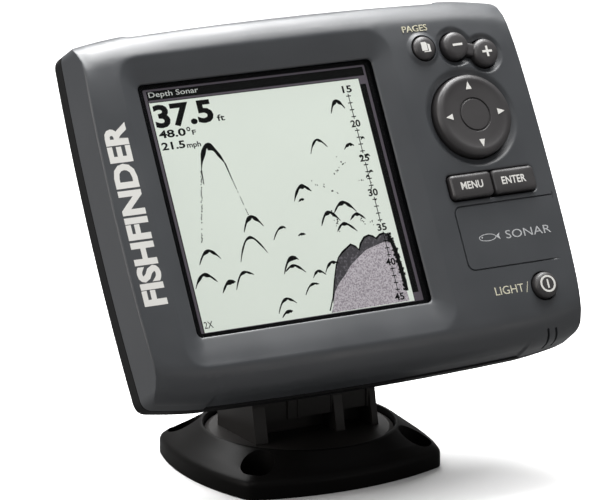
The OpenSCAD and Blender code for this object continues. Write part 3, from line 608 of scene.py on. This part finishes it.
def free_points(outer):
    """Points of the open face, the rolls and the recess's steps, clear of every loop."""
    both = (-1, 1)
    rows = [ROLL * math.sin(math.radians(a)) for a in np.arange(0, 76, 6.5)]
    grid = [(x, s * (r + flat_at(x))) for r in rows for x in np.arange(-84, 84.1, 3.5) for s in both]
    ends = [s * x for x in (61.2, 61.9, 62.5, 62.9, 63.2, 63.6, 64.2) for s in both]
    grid += [(x, s * (flat_at(x) + recess_from(x) + d)) for d in (-0.1, 0.08, 0.22, 0.36, 0.52)
             for x in list(np.arange(-60, 60.1, 3)) + ends for s in both]
    grid += [(s * x, t * (flat_at(x) + a)) for x in (61.9, 62.3, 62.7, 63.1, 63.4, 63.7) for s in both
             for a in (10.9, 11.25) for t in both]
    grid += [(x, y) for x in np.arange(-84, 84.1, 4.2) for y in np.arange(-50.4, 50.5, 4.2)]
    shape_in = inward(outer, 3.2)
    return far_from(grid, [
        lambda x, y: inside(shape_in, x, y),
        lambda x, y: sd_rect(x, y, *BAND) > 3.2,
        lambda x, y: np.hypot(x - PAGES[0], y - PAGES[1]) > KEY_R + 4.2,
        lambda x, y: np.hypot(x - POWER[0], y - POWER[1]) > KEY_R + 4.2,
        lambda x, y: sd_zoom(x, y) > 4.0,
        lambda x, y: np.hypot(x - PAD[0], y - PAD[1]) > PAD_R + 5.2,
        lambda x, y: sd_rect(x, y, *TEXT_AT, TEXT_W, TEXT_H, 1.5) > 2.6,
        lambda x, y: np.abs(sd_rect(x, y, *LABEL)) > 1.2])


def distance_to(loop, x, y):
    d = np.full(len(x), 1e9)
    for p, s in zip(loop, np.roll(loop, -1, 0) - loop):
        t = np.clip(((x - p[0]) * s[0] + (y - p[1]) * s[1]) / (s @ s), 0, 1)
        d = np.minimum(d, np.hypot(x - p[0] - t * s[0], y - p[1] - t * s[1]))
    return d


def front_shell():
    """Height-field face, flanks down to the parting line, and an inside with a wall all round."""
    outer, inner = case_loop(0, 0.1, RECESS_D), case_loop(3)
    holes = [window_loop(0), circle(PAGES, PAGES_R + GAP), circle(POWER, POWER_R + GAP), zoom_loop(GAP),
             circle(PAD, PAD_R + GAP, 96), text_loop(GAP, 2)]

    def top(xy):
        x, y = xy[:, 0], xy[:, 1]
        w = face(x, y, distance_to(outer, x, y))
        return np.column_stack([draft(x, y, w), y, w])

    points = list(map(tuple, free_points(outer))) + groove_points()
    v, f = triangulate([outer] + holes + detail_loops(outer), points)
    f = keep_domain(v, f, outer, holes)
    shape = Shape().add(top(v), [tuple(t) for t in f])

    rim, foot = top(outer), case_loop(0, 0.5, RECESS_D, -0.45)
    low, seam_z = at_height(foot, -FRONT_D + SEAM), -FRONT_D + 0.02
    wall = [rim]
    for t in (0.02, 0.5, 0.97):
        p = rim + (low - rim) * t
        p[:, 0] = draft(p[:, 0] + (outer[:, 0] - rim[:, 0]) * (1 - t), p[:, 1], p[:, 2])
        wall.append(p)
    ceiling = at_height(inner, np.minimum(roll(inner[:, 0], inner[:, 1], ROLL - WALL), -WALL))
    shape.loft(wall + [low, at_height(inward(foot, SEAM), seam_z), at_height(inner, seam_z), ceiling],
               cap0=False, cap1=False)
    for h, z in zip(holes, [LIP_Z] + [-WALL] * 5):
        shape.loft([top(h), at_height(h, z)], cap0=False, cap1=False)

    boss = [window_loop(d) for d in (4, 4.4)]
    rows = [(ROLL - WALL) * math.sin(math.radians(a)) for a in np.arange(0, 81, 16)]
    inner_in = inward(inner, 1.2)
    fill = far_from([(x, s * (r + flat_at(x))) for r in rows for x in np.arange(-80, 81, 8)
                     for s in (-1, 1)], [lambda x, y: inside(inner_in, x, y)])
    v, f = triangulate([inner] + holes + boss, list(map(tuple, fill)))
    f = keep_domain(v, f, inner, holes)
    w = np.minimum(roll(v[:, 0], v[:, 1], ROLL - WALL), -WALL)
    in_boss = sd_rect(v[:, 0], v[:, 1], WIN_X, WIN_Y, WIN_W + 8.2, WIN_H + 8.2, 6.1) < 0
    shape.add(np.column_stack([v, np.where(in_boss, LIP_Z, w)]), [tuple(t)[::-1] for t in f])
    obj = make("front_shell", shape, UNIT, "unit", SLATE, ["front_case"], weld=2e-6)

    slits = Shape()
    for x0, x1 in DRAINS:
        slits.slab([(x1 - 0.5, -67.5), (x1 + 0.5, -67.5), (x0 + 0.5, -60.6), (x0, -60.2), (x0 - 0.5, -60.6)],
                   -13.4, 1)
    cut(obj, slits, UNIT)


front_shell()


# ---------- keys ----------
def crowned(at, r, top, flange, flange_r):
    """Round cap with a rolled edge, a slight dome, a flange and a plunger."""
    profile = [(0.01, -9.0), (2.0, -9.0), (2.0, flange - 1.1), (flange_r, flange - 1.1), (flange_r, flange),
               (r, flange), (r, top - 1.0), (r - 0.9, top), (r * 0.45, top + 0.2), (0.01, top + 0.25)]
    radii = [0, 0.2, 0.2, 0.3, 0.3, 0.2, 0.7, 1.2, 1.5, 0]
    return Shape().revolve(at, profile, radii, steps=4)


for body, at, r, top in (("pages", PAGES, PAGES_R, KEY_H), ("power", POWER, POWER_R, KEY_H + 0.4)):
    key = crowned(at, r, top, FLANGE, KEY_R + 1.3)
    make(body + "_cap", key, UNIT, body, KEY, [body + "_key"])

# Minus and plus are one rocker: two caps, the web between them and its pin
LOW = FLANGE - 0.9
key = Shape()
web = zoom_world(rect_loop(0, 0, 2 * ZOOM_HALF, 2 * WEB, 0.4, 3, 6))
key.loft(rounded([at_height(web, LOW - 0.8), at_height(web, 0.7),
                  at_height(zoom_world(rect_loop(0, 0, 2 * ZOOM_HALF, 2 * WEB - 1.6, 0.2, 3, 6)), 1.1)],
                 [0, 0.5, 0]))
zoom = make("zoom_rocker", key, UNIT, "zoom", KEY, ["zoom_key"])
for at in (MINUS, PLUS):
    cut(zoom, crowned(at, KEY_R, KEY_H, LOW, KEY_R + 0.5), UNIT, "UNION")
pin = Shape().revolve((0, 0), [(0.01, -4.8), (1.0, -4.8), (1.0, 4.8), (0.01, 4.8)], [0, 0.2, 0.2, 0], n=24)
X_TO_Y = Matrix.Rotation(math.radians(90), 4, "X")
turn = Matrix.Translation((*ZOOM_MID, -4.2)) @ Matrix.Rotation(ZOOM_A, 4, "Z") @ X_TO_Y
cut(zoom, pin, UNIT @ turn, "UNION")


def text_cap(body, x0, x1, dome_x):
    """Long cap from x0 to x1, with its plunger over the dome."""
    mid, w = (x0 + x1) / 2, x1 - x0
    y = TEXT_AT[1]
    levels = [at_height(rect_loop(mid, y, *s), z) for s, z in (
        ((w - 0.2, TEXT_H + 2, 1.5), FLANGE - 1.1), ((w - 0.2, TEXT_H + 2, 1.5), FLANGE),
        ((w, TEXT_H, 1.5), FLANGE + 0.05), ((w, TEXT_H, 1.5), 1.2), ((w - 1.4, TEXT_H - 1.4, 1.0), 2.0),
        ((w * 0.5, TEXT_H * 0.4, 0.8), 2.12))]
    cap = Shape().loft(rounded(levels, [0, 0.2, 0, 0.6, 1.0, 0]))
    obj = make(body + "_cap", cap, UNIT, body, KEY, [body + "_key"])
    cut(obj, Shape().revolve((dome_x, y), [(2.0, -8.6), (2.0, FLANGE - 0.5)], n=32), UNIT, "UNION")


text_cap("menu", TEXT_AT[0] - TEXT_W / 2, TEXT_SPLIT - 0.2, TEXT_SPLIT - 9)
text_cap("enter", TEXT_SPLIT + 0.2, TEXT_AT[0] + TEXT_W / 2, TEXT_SPLIT + 9)

# The arrow pad: a dished cap with a groove round its middle, and two lugs for the gimbal's pin
key = Shape()
key.revolve(PAD, [(7.2, -1.2), (7.2, -5.4), (PAD_R + 1.2, -5.4), (PAD_R + 1.2, -4.4), (PAD_R, -4.4),
                  (PAD_R, 2.1), (PAD_R - 1.7, PAD_H + 0.1), (PAD_R - 4.0, PAD_H - 0.25), (6.35, PAD_H - 0.3),
                  (6.2, PAD_H - 0.8), (5.8, PAD_H - 0.8), (5.65, PAD_H - 0.3), (0.01, PAD_H - 0.25),
                  (0.01, -1.2)],
            [0, 0.3, 0.3, 0.3, 0.2, 1.2, 1.2, 1.8, 0.15, 0.05, 0.05, 0.15, 0, 0], n=96, steps=6, ring=True)
pad = make("arrow_cap", key, UNIT, "arrows", KEY, ["arrow_pad"])
lugs = Shape()
for y in (-5.2, 3.7):
    lugs.box((PAD[0] - 1.7, PAD[1] + y, -5.5), (PAD[0] + 1.7, PAD[1] + y + 1.5, -0.8))
cut(pad, lugs, UNIT, "UNION")
bore = Shape().revolve((0, 0), [(1.05, -8), (1.05, 8)], n=32)
cut(pad, bore, UNIT @ Matrix.Translation((*PAD, -3.8)) @ X_TO_Y)

# ---------- legends ----------
# Printed marks on the face reach from just under it to just over it
UNDER, OVER = -0.1, 0.03
marks = Shape()
x, y = PAGES
top = KEY_H + 0.24
marks.slab([(x + 0.8, y + 1.2), (x + 1.7, y + 0.8), (x + 1.7, y - 1.9), (x - 1.1, y - 1.9),
            (x - 1.1, y - 1.6), (x + 0.8, y - 1.6)], top - 0.2, top + 0.04)
marks.slab([(x - 1.8, y + 1.9), (x, y + 1.9), (x + 0.5, y + 1.4), (x + 0.5, y - 1.35), (x - 1.8, y - 1.35)],
           top - 0.2, top + 0.05)
make("pages_mark", marks, UNIT, "pages", WHITE)

marks = Shape()
top = KEY_H + 0.25
a, b = 2.0, 0.42
x, y = MINUS
marks.box((x - a, y - b, top - 0.2), (x + a, y + b, top + 0.05))
x, y = PLUS
marks.slab([(x - b, y - a), (x + b, y - a), (x + b, y - b), (x + a, y - b), (x + a, y + b), (x + b, y + b),
            (x + b, y + a), (x - b, y + a), (x - b, y + b), (x - a, y + b), (x - a, y - b), (x - b, y - b)],
           top - 0.2, top + 0.05)
make("zoom_marks", marks, UNIT, "zoom", WHITE)

marks = Shape()
for k in range(4):
    a = math.pi / 2 * k
    c, s = math.cos(a), math.sin(a)
    tri = [(12.3, 0), (9.4, 1.15), (9.4, -1.15)]
    marks.slab([(PAD[0] + p * c - q * s, PAD[1] + p * s + q * c) for p, q in tri], PAD_H - 0.5, PAD_H - 0.1)
make("arrow_marks", marks, UNIT, "arrows", WHITE)

mid = TEXT_AT[1]
for word, x0, x1 in (("menu", 47.4, 56.5), ("enter", 64.4, 74.5)):
    marks = Shape().lettering(word.upper(), (x0, mid - 1.4, x1, mid + 1.4), 1.9, 2.16, 0.02)
    make(word + "_mark", marks, UNIT, word, WHITE)

marks = Shape()
top = KEY_H + 0.4
ring = [(2.4, top - 0.1), (3.1, top - 0.1), (3.1, top + 0.24), (2.4, top + 0.24)]
marks.revolve(POWER, ring, n=48, ring=True)
marks.box((POWER[0] - 0.33, POWER[1] - 1.6, top - 0.1), (POWER[0] + 0.33, POWER[1] + 1.6, top + 0.27))
make("power_mark", marks, UNIT, "power", WHITE)

marks = Shape().lettering("PAGES", (41.2, 52.8, 51.4, 55.2), -0.5, OVER)
marks.lettering("LIGHT", (51.4, -46.4, 63.4, -43.4), UNDER, OVER)
marks.slab([(64.1, -46.8), (64.35, -46.8), (65.65, -43.0), (65.4, -43.0)], UNDER, OVER)
make("face_labels", marks, UNIT, "unit", CREAM)

marks = Shape().lettering("FISHFINDER", (-84.4, -31.8, -75.4, 32.8), UNDER, 0.04, 0.042, turn=True)
make("side_word", marks, UNIT, "unit", WHITE)

# ---------- screen ----------
Z0, Z1 = LCD_Z - 0.05, LCD_Z + 0.02


def on_screen(points):
    return [(WIN_X + x, WIN_Y + y) for x, y in points]


def corners(x0, y0, x1, y1):
    return np.array(on_screen([(x0, y0), (x1, y0), (x1, y1), (x0, y1)]))


def stroke(shape, points, widths, z1=Z1):
    p = np.array(on_screen(points))
    t = np.gradient(p, axis=0)
    t /= np.linalg.norm(t, axis=1)[:, None] + 1e-9
    n = np.column_stack([-t[:, 1], t[:, 0]]) * (np.array(widths) / 2)[:, None]
    shape.slab(np.vstack([p + n, (p - n)[::-1]]), Z0, z1)


def arch(shape, x, y, lx, ly, rx, ry, thick):
    """Fish echo: apex at (x, y), a steep left leg and a longer, thinner right leg."""
    s = np.linspace(-1, 1, 19)
    px = x + np.where(s < 0, s * lx, s * rx)
    py = y - np.where(s < 0, ly * np.abs(s) ** 1.9, ry * np.abs(s) ** 1.6)
    w = thick * (1 - np.abs(s) ** 1.5) * (0.8 + 0.25 * np.sin(s * 9 + x)) + 0.22
    stroke(shape, np.column_stack([px, py - w * 0.3]), w)


def dot(shape, x, y, s):
    p = on_screen([(x, y)])[0]
    shape.box((p[0] - s / 2, p[1] - s / 2, Z0), (p[0] + s / 2, p[1] + s / 2, Z1))


# Title bar and the rules around the chart
ink = Shape()
for bar in ((-43.0, 39.7, 43.4, 42.9), (-42.6, 38.75, 40.6, 39.0), (-43.2, -43.5, -42.85, 39.7),
            (40.8, -40.4, 43.1, 36.6), (40.6, -43.5, 40.75, 38.9)):
    ink.slab(corners(*bar), Z0, Z1)
# Depth, temperature and speed, and the scale of the picture
for text, (x0, y0, x1, y1), bold in (
        ("37.5", (-42.1, 29.4, -19.4, 37.9), 0.035), ("ft", (-18.4, 29.6, -15.4, 31.9), 0.015),
        ("48.0", (-42.0, 25.9, -31.6, 28.7), 0.028), ("o", (-31.1, 27.3, -29.6, 28.9), 0.02),
        ("F", (-29.2, 25.9, -27.7, 27.6), 0.02), ("21.5", (-42.0, 21.6, -33.0, 24.4), 0.028),
        ("mph", (-32.4, 20.9, -27.0, 23.4), 0.02), ("2X", (-42.4, -42.0, -39.0, -39.6), 0.0)):
    a, b = on_screen([(x0, y0), (x1, y1)])
    ink.lettering(text, (*a, *b), Z0, Z1, bold)
# Depth scale, with four ticks between two numbers
SCALE_X, SCALE_STEP = 35.0, 12.75
for k, value in enumerate((15, 20, 25, 30, 35, 40, 45)):
    y = 35.4 - SCALE_STEP * k
    a, b = on_screen([(SCALE_X - 1.9, y - 1.3), (SCALE_X + 1.9, y + 1.3)])
    ink.lettering(str(value), (*a, *b), Z0, Z1 + 0.03, 0.024)
    if k < 6:
        stroke(ink, [(SCALE_X, y - 1.7), (SCALE_X, y - 11.0)], [0.3, 0.3])
        for j in range(1, 5):
            tick = y - SCALE_STEP * j / 5
            stroke(ink, [(SCALE_X - 0.9, tick), (SCALE_X + 0.9, tick)], [0.36, 0.36])
# Fish echoes: x, y, width and drop of the left leg, the same of the right leg, thickness
ARCHES = [
    (-24.6, 22.0, 4.6, 9.0, 5.0, 7.5, 2.6), (-14.6, -5.2, 4.2, 5.4, 3.8, 4.2, 1.6),
    (-17.0, -12.4, 5.8, 8.4, 5.2, 6.4, 0.9), (-34.0, -15.0, 4.6, 4.8, 4.0, 3.6, 1.3),
    (-37.6, -23.0, 4.6, 4.8, 4.2, 3.4, 1.4), (-28.4, -26.6, 4.0, 4.0, 1.8, 0.8, 1.7),
    (-22.4, -24.2, 4.6, 6.0, 3.4, 1.6, 1.0), (-8.8, -35.6, 4.4, 5.0, 3.4, 2.2, 1.0),
    (-9.0, -40.0, 3.2, 2.2, 1.4, 0.4, 1.2), (-3.6, -10.4, 4.6, 4.4, 1.2, 0.8, 0.8),
    (3.2, -13.8, 1.6, 0.8, 1.4, 0.5, 0.9), (-2.6, -21.4, 4.8, 5.8, 2.0, 1.4, 1.5),
    (-3.0, -24.4, 3.6, 2.0, 4.0, 3.2, 1.1), (7.8, 3.2, 4.4, 5.4, 3.2, 2.6, 1.6),
    (6.6, -1.6, 1.6, 1.0, 0.8, 0.3, 0.9), (18.2, 18.8, 3.8, 5.0, 3.4, 3.2, 0.9),
    (29.6, 32.0, 3.2, 4.6, 2.8, 3.4, 1.5), (30.6, 15.8, 2.6, 2.0, 1.6, 0.9, 1.2),
    (22.2, -4.6, 4.4, 3.6, 4.4, 4.2, 1.5), (15.6, -7.4, 4.0, 4.8, 3.8, 3.8, 1.4),
    (26.4, -9.4, 3.0, 2.2, 3.0, 2.4, 1.2), (20.6, -12.2, 3.4, 2.8, 4.4, 3.6, 1.2),
    (6.0, -27.6, 2.6, 2.4, 2.6, 1.8, 1.0), (3.0, -31.8, 4.2, 3.8, 2.0, 0.6, 0.8),
    (12.2, -25.2, 3.6, 3.6, 2.4, 0.8, 1.1)]
for a in ARCHES:
    arch(ink, *a)
# Two thin trails of dots, then scattered echoes
for k in range(46):
    t = k / 45
    if random.random() < 0.75:
        dot(ink, -29.4 - 6.3 * t + random.uniform(-0.2, 0.2), 12.5 - 25 * t, 0.3 + 0.18 * random.random())
for k in range(30):
    t = k / 29
    if random.random() < 0.35 + 0.6 * abs(t - 0.5):
        dot(ink, -19.6 + 4.0 * t, 14.0 - 18.6 * t, 0.38)
stroke(ink, [(-29.2, 13.0), (-29.6, 8.0)], [0.5, 0.3])
stroke(ink, [(-19.6, 14.5), (-18.4, 8.4)], [0.55, 0.3])
for k in range(60):
    t = random.random()
    x, y = random.choice([(24 + 8 * t, 13 - 12 * t), (12 + 9 * t, 4 - 5 * t), (22 + 4 * t, 5 + 4 * t),
                          (33 + 2.4 * t, 19 - 30 * t), (17 + 1.5 * t, -8 - 7 * t),
                          (27 + 5 * t, -12 - 2 * t)])
    dot(ink, x + random.uniform(-0.8, 0.8), y + random.uniform(-0.8, 0.8), random.choice([0.28, 0.35, 0.5]))
for x, y, s in ((36.4, 17.6, 0.9), (36.6, 11.2, 1.1), (34.2, 11.0, 0.7), (36.4, 5.2, 0.9), (34.6, 3.6, 0.8)):
    arch(ink, x, y, s, s * 1.2, s * 0.8, s * 0.8, 0.7)
# Upper and right-hand edge of the sea bed, and the upper edge of its paler inside
RIDGE = [
    (6.6, -42.4), (9.0, -38.0), (11.2, -32.0), (13.4, -26.8), (15.0, -24.2), (17.2, -22.4),
    (19.0, -21.4), (21.0, -20.2), (22.7, -21.2), (23.8, -22.6), (25.0, -20.4), (27.0, -18.4),
    (28.9, -17.9), (30.4, -18.4), (31.6, -19.4), (33.4, -18.2), (35.4, -17.9)]
EAST = [
    (36.6, -18.0), (37.2, -20.8), (37.9, -23.6), (38.2, -27.2),
    (38.4, -31.6), (38.6, -36.4), (38.6, -39.4)]
INNER = [
    (8.6, -40.2), (10.4, -36.0), (13.0, -33.0), (16.0, -30.6), (19.0, -27.6),
    (23.0, -25.0), (26.4, -23.0), (30.8, -21.8), (34.4, -21.0)]
stroke(ink, RIDGE, [0.45] * 5 + [0.7] * 12, Z1 + 0.02)
stroke(ink, EAST, [0.9, 1.3, 1.6, 1.4, 1.6, 1.5, 1.2], Z1 + 0.02)
for k in range(54):
    i, t = random.randrange(len(EAST) - 1), random.random()
    (x0, y0), (x1, y1) = EAST[i], EAST[i + 1]
    x = x0 + (x1 - x0) * t + random.choice((-0.8, 0.8)) + random.uniform(-0.25, 0.25)
    dot(ink, x, y0 + (y1 - y0) * t, random.uniform(0.4, 0.8))
make("screen_ink", ink, UNIT, "unit", INK)

# Dim ring round the picture: the screen's unlit edge, with painted shade from the window's walls over it
margin_shade = Shape()
frame_out, frame_in = corners(-45.5, -45.0, 45.5, 45.0), corners(-42.9, -43.4, 40.7, 39.0)
margin_shade.loft([at_height(p, z) for p, z in
             ((frame_out, Z0), (frame_out, Z1 - 0.015), (frame_in, Z1 - 0.015), (frame_in, Z0))], ring=True)
make("screen_margin_shade", margin_shade, UNIT, "unit", MARGIN_SHADE)

bed = Shape().slab(on_screen(INNER + [(36.8, -21.0), (38.0, -27.0), (38.6, -43.1), (7.0, -43.2)]),
                   Z0, Z1 - 0.01)
make("screen_bed", bed, UNIT, "unit", BED)
shade = Shape().slab(on_screen(RIDGE[1:] + [(36.6, -18.2), (36.9, -21.2)] + INNER[::-1]), Z0, Z1 - 0.005)
make("screen_shade", shade, UNIT, "unit", SHADE)

a, b = on_screen([(-42.3, 40.1), (-23.0, 42.6)])
title = Shape().lettering("Depth Sonar", (*a, *b), Z0, Z1 + 0.02, 0.005)
make("screen_title", title, UNIT, "unit", GLOW)

border = Shape()
frame_out = rect_loop(WIN_X, WIN_Y, WIN_W + 3, WIN_H + 3, 3, 6, 6)
frame_in = rect_loop(WIN_X, WIN_Y, 88.4, 87.2, 0.4, 6, 6)
border.loft([at_height(p, LCD_Z + d) for p, d in
             ((frame_out, 0.03), (frame_out, 0.08), (frame_in, 0.08), (frame_in, 0.03))], ring=True)
make("lens_border", border, UNIT, "unit", MASK)

# ---------- label panel: fish and word ----------
label = Shape()
fx, fy = 54.0, -25.2
t = np.linspace(0, 2 * math.pi, 49)[:-1]
body = np.column_stack([fx + 3.6 * np.cos(t), fy + 1.35 * np.sin(t)])
core = np.column_stack([fx + 3.3 * np.cos(t), fy + 1.1 * np.sin(t)])
label.loft([at_height(p, z) for p, z in ((body, UNDER), (body, OVER), (core, OVER), (core, UNDER))],
           ring=True)
label.slab([(fx + 3.4, fy), (fx + 5.2, fy + 1.3), (fx + 4.8, fy), (fx + 5.2, fy - 1.3)], UNDER, OVER)
label.revolve((fx - 2.2, fy + 0.2), [(0.3, UNDER), (0.3, OVER)], n=16)
label.lettering("SONAR", (61.6, -26.6, 80.6, -23.6), UNDER, OVER, -0.004)
make("label_mark", label, UNIT, "unit", SILVER)


# ---------- rear shell ----------
def back_loop(cy, w, h, r, stations=(16, 13, 38)):
    """Rounded rectangle with as many points along side, corner and top as the case's outline."""
    n_side, n_corner, n_top = stations
    x, y = w / 2, h / 2
    q = [(x, (y - r) * t) for t in np.linspace(0, 1, n_side + 1)[:-1]]
    turn = np.radians(np.linspace(0, 90, n_corner))
    q += [(x - r + r * math.cos(a), y - r + r * math.sin(a)) for a in turn]
    q += [((x - r) * (1 - t), y) for t in np.linspace(0, 1, n_top + 1)[1:]]
    return four_quarters(q) + [0, cy]


def rear_shell():
    """Rim, tapering housing and its inside, with holes for screws and socket, and lugs on the tilt pin."""
    outline = case_loop(0, 0.5, 0, -0.45)
    seam_z, rim_z, step_z, back_z = -FRONT_D, -FRONT_D - RIM_D, -40, -61
    outer = rounded([at_height(inward(outline, SEAM), seam_z - 0.02), at_height(outline, seam_z - SEAM),
                     at_height(outline, rim_z), at_height(back_loop(4, 132, 92, 14), step_z),
                     at_height(back_loop(2, 93.5, 73.5, 10), step_z),
                     at_height(back_loop(2, 90, 70, 10), back_z)], [0, 0, 1.0, 5.0, 2.5, 0], 5)
    edge = rounded([outer[-2], at_height(back_loop(2, 91, 71, 10), back_z),
                    at_height(back_loop(2, 60, 40, 8), back_z)], [0, 2.5, 0], 5)
    loops = outer[:-1] + edge[1:]
    inner = [at_height(back_loop(2, 84, 66, 7), -58), at_height(back_loop(2, 86, 66, 7), -37),
             at_height(back_loop(4, 126, 86, 11), -37), at_height(case_loop(3), rim_z),
             at_height(case_loop(3), seam_z - 0.02)]
    shape = Shape().loft(loops, cap0=False).loft(inner, cap1=False)
    shape.loft([inner[-1], loops[0]], cap0=False, cap1=False)
    obj = make("rear_shell", shape, UNIT, "unit", REAR, ["rear_case"], weld=2e-6)

    heads, shanks = Shape(), Shape()
    for at in SCREW_AT:
        heads.revolve(at, [(3.1, -60), (3.1, -21)], n=40)
        shanks.revolve(at, [(1.7, -30), (1.7, -10)], n=32)
    shanks.revolve(SOCKET_AT, [(7.6, -70), (7.6, -50)], n=64)
    cut(obj, heads, UNIT)
    cut(obj, shanks, UNIT)
    side = [(PIN_Y + 8 * math.cos(a), PIN_Z + 8 * math.sin(a)) for a in np.radians(np.linspace(92, 270, 24))]
    side += [(-33.5, -60.5), (-33.0, -58), (-33.0, -46), (-33.5, -44)]
    swap = Matrix(((0, 0, 1, 0), (1, 0, 0, 0), (0, 1, 0, 0), (0, 0, 0, 1)))
    for x0 in (-31.9, 25.9):
        cut(obj, Shape().slab(side, x0, x0 + 6), UNIT @ swap, "UNION")
    cut(obj, Shape().revolve((PIN_Y, PIN_Z), [(2.52, -40), (2.52, 40)], n=40), UNIT @ swap)


rear_shell()


# ---------- base ----------
def base_radius(theta):
    """Outline of the base: arcs from corner to corner (cx, cy), bowed out to bx and by, corners cut off."""
    cx, cy, bx, by, corner = 39.5, 33.8, 45.9, 41.5, 51.5
    rx = ((bx - cx) ** 2 + cy * cy) / (2 * (bx - cx))
    ry = ((by - cy) ** 2 + cx * cx) / (2 * (by - cy))
    d = np.column_stack([np.cos(theta), np.sin(theta)])
    out = np.full(len(theta), corner)
    for c, r in (((bx - rx, 0), rx), ((rx - bx, 0), rx), ((0, by - ry), ry), ((0, ry - by), ry)):
        dc = d @ np.array(c)
        out = soft_min(out, dc + np.sqrt(dc * dc - np.dot(c, c) + r * r), 0.6)
    return out


def base_shell():
    """Outside, turntable's well and central hole as one ring, then the four screw holes."""
    theta = np.arange(256) * 2 * math.pi / 256
    r = base_radius(theta)

    def ring(radius, z):
        return at_height(np.column_stack([radius * np.cos(theta), radius * np.sin(theta)]), z)

    levels = [ring(*p) for p in (
        (r - 1.0, 0), (r, 0), (r, 6.1), (0.93 * r, 8.75), (35.6, 14.3), (34.7, 14.3), (34.7, 4.4),
        (28.2, 4.4), (28.2, 2.8), (23.8, 2.8), (23.8, 4.4), (8.05, 4.4), (8.05, 2.2), (13, 2.2), (13, 0),
        (14, 0))]
    radii = [0, 0.5, 1.6, 2.0, 0.7, 0.5, 0.3, 0, 0, 0, 0, 0.2, 0, 0, 0.2, 0]
    obj = make("base_body", Shape().loft(rounded(levels, radii, 5), ring=True), BASE, "base", BLACK,
               ["base_plate"], weld=2e-6)
    sinks, holes = Shape(), Shape()
    for at in BASE_HOLES:
        sinks.revolve(at, [(6.1, 3.6), (6.1, 20)], n=64)
        holes.revolve(at, [(2.4, -1), (2.4, 5)], n=40)
    cut(obj, sinks, BASE)
    cut(obj, holes, BASE)


base_shell()


# ---------- edges of the CAD pieces that show ----------
def smooth_group():
    """Modifier that shades a mesh smooth, except across edges over SHARP_ANGLE."""
    g = bpy.data.node_groups.new("smooth_by_angle", "GeometryNodeTree")
    g.interface.new_socket("Geometry", in_out="INPUT", socket_type="NodeSocketGeometry")
    g.interface.new_socket("Geometry", in_out="OUTPUT", socket_type="NodeSocketGeometry")
    new, link = g.nodes.new, g.links.new
    faces, edges, bend, sharp = (new("GeometryNodeSetShadeSmooth"), new("GeometryNodeSetShadeSmooth"),
                                 new("GeometryNodeInputMeshEdgeAngle"), new("FunctionNodeCompare"))
    faces.domain, edges.domain, sharp.operation = "FACE", "EDGE", "GREATER_THAN"
    sharp.inputs["B"].default_value = SHARP_ANGLE
    edges.inputs["Shade Smooth"].default_value = False
    link(bend.outputs["Unsigned Angle"], sharp.inputs["A"])
    link(sharp.outputs["Result"], edges.inputs["Selection"])
    link(new("NodeGroupInput").outputs[0], faces.inputs["Geometry"])
    link(faces.outputs["Geometry"], edges.inputs["Geometry"])
    link(edges.outputs["Geometry"], new("NodeGroupOutput").inputs[0])
    return g


SMOOTH = smooth_group()
for n in ("swivel_bracket", "release_button", "release_pawl", "tilt_ratchet", "cable_socket"):
    o = nodes[n]
    bevel = o.modifiers.new("edges", "BEVEL")
    bevel.width, bevel.segments, bevel.limit_method, bevel.angle_limit = 0.0004, 3, "ANGLE", math.radians(38)
    o.modifiers.new("smooth", "NODES").node_group = SMOOTH

# ---------- camera, floor and light ----------
scene = bpy.context.scene
cam = bpy.data.cameras.new("camera")
cam.lens, cam.sensor_width = 221.45, 36
cam_obj = bpy.data.objects.new("camera", cam)
scene.collection.objects.link(cam_obj)
scene.camera = cam_obj
eye, aim = Vector((-0.6328, -1.1047, 0.4090)), Vector((0.000385, 0, 0.07775))
cam_obj.location = eye
cam_obj.rotation_mode = "QUATERNION"
cam_obj.rotation_quaternion = (aim - eye).to_track_quat("-Z", "Y")

floor = bpy.data.meshes.new("floor")
floor.from_pydata([(-4, -4, 0), (4, -4, 0), (4, 4, 0), (-4, 4, 0)], [], [(0, 1, 2, 3)])
floor_obj = bpy.data.objects.new("floor", floor)
scene.collection.objects.link(floor_obj)
paper = surface("floor_paper", (0.86, 0.86, 0.86), 0.8, grain=2.0, bump=0.02, spread=0.01)
# The floor throws little light back up at the object, as when the studio's table is far below it
tree = paper.node_tree
new, link = tree.nodes.new, tree.links.new
path, mix, dim = new("ShaderNodeLightPath"), new("ShaderNodeMixShader"), new("ShaderNodeBsdfDiffuse")
dim.inputs["Color"].default_value = (0.14, 0.14, 0.14, 1)
link(path.outputs["Is Camera Ray"], mix.inputs["Fac"])
link(dim.outputs["BSDF"], mix.inputs[1])
link(tree.nodes["Principled BSDF"].outputs["BSDF"], mix.inputs[2])
link(mix.outputs["Shader"], tree.nodes["Material Output"].inputs["Surface"])
floor.materials.append(paper)

world = bpy.data.worlds.new("studio")
world.use_nodes = True
scene.world = world
backdrop = world.node_tree.nodes["Background"]
backdrop.inputs["Color"].default_value = (1, 1, 1, 1)
backdrop.inputs["Strength"].default_value = 0.23


def lamp(name, at, aim_at, size, power, colour=(1, 1, 1), size_y=None):
    light = bpy.data.lights.new(name, "AREA")
    light.shape, light.size, light.size_y = "RECTANGLE", size, size_y or size
    light.energy, light.color = power, colour
    o = bpy.data.objects.new(name, light)
    scene.collection.objects.link(o)
    o.location = at
    o.rotation_mode = "QUATERNION"
    o.rotation_quaternion = (Vector(aim_at) - Vector(at)).to_track_quat("-Z", "Y")
    return o


lamp("back_light", (-0.05, 0.57, 1.0), (0, 0, 0.14), 1.4, 28, size_y=0.74)
lamp("top_light", (0.22, 0.08, 0.85), (0, 0, 0.1), 0.7, 9, size_y=0.5)
lamp("key_light", (-0.4, -0.4, 0.55), (-0.05, 0, 0.14), 0.3, 0.6)
lamp("side_light", (-0.9, 0.05, 0.3), (-0.06, 0, 0.12), 0.5, 2.5, (1, 0.95, 0.91))
lamp("front_light", (0.5, -0.95, 0.08), (0, 0, 0.02), 0.25, 0.35, (1, 0.94, 0.9))
scene.view_settings.view_transform = "Standard"
